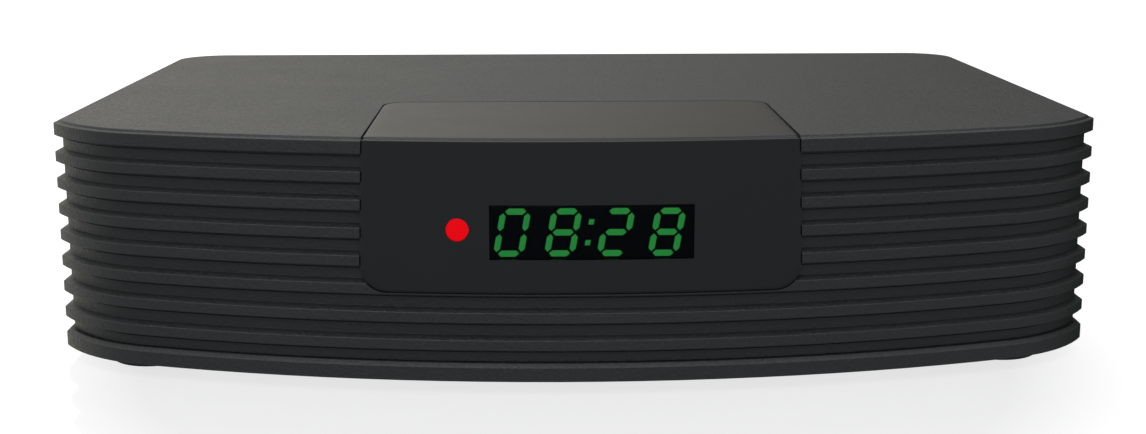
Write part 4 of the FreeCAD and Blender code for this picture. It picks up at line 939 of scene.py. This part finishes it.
def make_floor():
    """Wide sheet of white translucent acrylic under the feet, lit from below as on a light table.

    It looks pale and even, its shadows lifted by the light from below. Its glow is painted weaker
    in a soft round pool round the receiver's front: a painted shadow. It is there for the camera
    alone: the light that it would throw up at the receiver comes from the lower half of the
    surroundings instead.
    """
    along = np.linspace(-6.0, 6.0, 13)
    x, y = np.meshgrid(along, along)
    mesh = mesh_of("studio_floor", [(np.stack([x, y, np.zeros_like(x)], axis=-1), None, True)])
    sheet = bpy.data.objects.new("studio_floor", mesh)
    bpy.context.scene.collection.objects.link(sheet)
    surface = finish("white translucent acrylic", settings("finish_colours").floor, 0.06, grain=5.0,
                     shade=0.004, rough_spread=0.01, **{
                         "Specular IOR Level": 0.1, "Emission Color": (1.0, 1.0, 1.0, 1.0)})
    tree = surface.node_tree
    shader = tree.nodes["Principled BSDF"]
    place = node(tree, "ShaderNodeTexCoord")
    # Painted shadow: the glow is 0.75 within 7 cm of a point under the receiver's front, rising to 1.02 by
    # 10 cm.
    distance_from_painted_shadow = node(tree, "ShaderNodeVectorMath", {0: place.outputs["Object"], 1: (0.0, -0.04, 0.0)},
                operation="DISTANCE")
    glow_dimmed_by_painted_shadow = node(tree, "ShaderNodeMapRange", {
        "Value": distance_from_painted_shadow.outputs["Value"], "From Min": 0.07, "From Max": 0.1, "To Min": 0.75,
        "To Max": 1.02})
    tree.links.new(glow_dimmed_by_painted_shadow.outputs["Result"], shader.inputs["Emission Strength"])
    mesh.materials.append(surface)
    sheet.visible_diffuse = False
    sheet.visible_glossy = False


def make_sky():
    """Studio surroundings: a warm white wall behind the receiver, brighter to the left, and a cool dim
    room on the camera's side, brighter above than below."""
    world = bpy.data.worlds.new("studio")
    world.use_nodes = True
    tree = world.node_tree
    tree.nodes.clear()
    place = node(tree, "ShaderNodeTexCoord")
    parts = node(tree, "ShaderNodeSeparateXYZ", {"Vector": place.outputs["Generated"]})
    left, height, back = (
        node(tree, "ShaderNodeMapRange", {
            "Value": parts.outputs[axis], "From Min": start, "From Max": end,
            "To Min": first, "To Max": last}).outputs["Result"]
        for axis, start, end, first, last in (("X", -0.4, 0.34, 0.93, 0.02), ("Z", -0.5, 0.6, 0.27, 0.56),
                                              ("Y", -0.1, 0.4, 0.0, 1.0)))
    strength = node(tree, "ShaderNodeMix", {"Factor": back, "A": height, "B": left}, data_type="FLOAT")
    tint = node(tree, "ShaderNodeMix", {"Factor": back, "A": (0.94, 1.0, 1.04, 1.0),
                                        "B": (1.0, 0.965, 0.87, 1.0)}, data_type="RGBA")
    light = node(tree, "ShaderNodeBackground", {
        "Color": tint.outputs["Result"], "Strength": strength.outputs["Result"]})
    node(tree, "ShaderNodeOutputWorld", {"Surface": light.outputs["Background"]})
    bpy.context.scene.world = world
    bpy.context.scene.view_settings.view_transform = "Standard"
    bpy.context.scene.view_settings.look = "None"


def make_lights():
    """Large soft panel overhead, and a smaller one high before the front, to the left."""
    for name, place, aim, size, power in (
            ("overhead panel", (0.0, 0.3, 1.6), (0.0, 0.1, 0.0), 2.4, 26.0),
            ("front panel", (-0.35, -1.1, 1.0), (0.0, 0.0, 0.03), 1.0, 4.5)):
        data = bpy.data.lights.new(name, "AREA")
        data.shape = "SQUARE"
        data.size = size
        data.energy = power
        lamp = bpy.data.objects.new(name, data)
        bpy.context.scene.collection.objects.link(lamp)
        lamp.location = place
        lamp.rotation_euler = (Vector(aim) - Vector(place)).to_track_quat("-Z", "Y").to_euler()


def make_camera():
    """Camera at the photograph's viewpoint, solved from the outline and the ribs.

    The angles are in radians, and the focal length is in pixels of a picture 1146 pixels wide.
    """
    pitch, yaw, roll = 0.203354, 0.021535, -0.00127
    place = Vector((-6.257, -300.914, 76.375)) * MM
    focal, picture_width = 1622.684, 1146
    forward = Vector((math.sin(yaw) * math.cos(pitch), math.cos(yaw) * math.cos(pitch), -math.sin(pitch)))
    right = Vector((math.cos(yaw), -math.sin(yaw), 0.0))
    up = right.cross(forward)
    right, up = math.cos(roll) * right + math.sin(roll) * up, math.cos(roll) * up - math.sin(roll) * right
    data = bpy.data.cameras.new("camera")
    data.sensor_width = 36.0
    data.sensor_fit = "HORIZONTAL"
    data.lens = focal / picture_width * 36.0
    data.clip_start = 0.01
    data.clip_end = 50.0
    camera = bpy.data.objects.new("camera", data)
    turned_to = Matrix((right, up, -forward)).transposed().to_4x4()
    camera.matrix_world = Matrix.Translation(place) @ turned_to
    bpy.context.scene.collection.objects.link(camera)
    bpy.context.scene.camera = camera


class RECEIVER_PT_panel(bpy.types.Panel):
    """Lists the steps that build the receiver, and its sizes and colours."""
    bl_idname = "RECEIVER_PT_panel"
    bl_label = "Receiver"
    bl_space_type = "VIEW_3D"
    bl_region_type = "UI"
    bl_category = "Receiver"

    def draw(self, context):
        for step in STEPS:
            self.layout.operator(step.bl_idname)
        for name in GROUPS:
            box = self.layout.box()
            group = getattr(context.scene, name)
            for field in group.bl_rna.properties.keys()[1:]:
                box.prop(group, field)


STEPS = (RECEIVER_OT_finishes, RECEIVER_OT_cover, RECEIVER_OT_bezel, RECEIVER_OT_display,
         RECEIVER_OT_tray, RECEIVER_OT_feet, RECEIVER_OT_aerials, RECEIVER_OT_sockets,
         RECEIVER_OT_stage)
GROUPS = {"casing_sizes": CasingSizes, "bezel_sizes": BezelSizes, "foot_sizes": FootSizes,
          "thread_sizes": ThreadSizes, "finish_colours": FinishColours}


def register():
    """Registers the groups, the steps and the panel."""
    for name, group in GROUPS.items():
        bpy.utils.register_class(group)
        setattr(bpy.types.Scene, name, bpy.props.PointerProperty(type=group))
    for step in STEPS:
        bpy.utils.register_class(step)
    bpy.utils.register_class(RECEIVER_PT_panel)


def unregister():
    """Takes the panel, the steps and the groups away again."""
    bpy.utils.unregister_class(RECEIVER_PT_panel)
    for step in reversed(STEPS):
        bpy.utils.unregister_class(step)
    for name, group in GROUPS.items():
        delattr(bpy.types.Scene, name)
        bpy.utils.unregister_class(group)


def main():
    register()
    for step in STEPS:
        group, action = step.bl_idname.split(".")
        getattr(getattr(bpy.ops, group), action)()


if __name__ == "__main__":
    main()
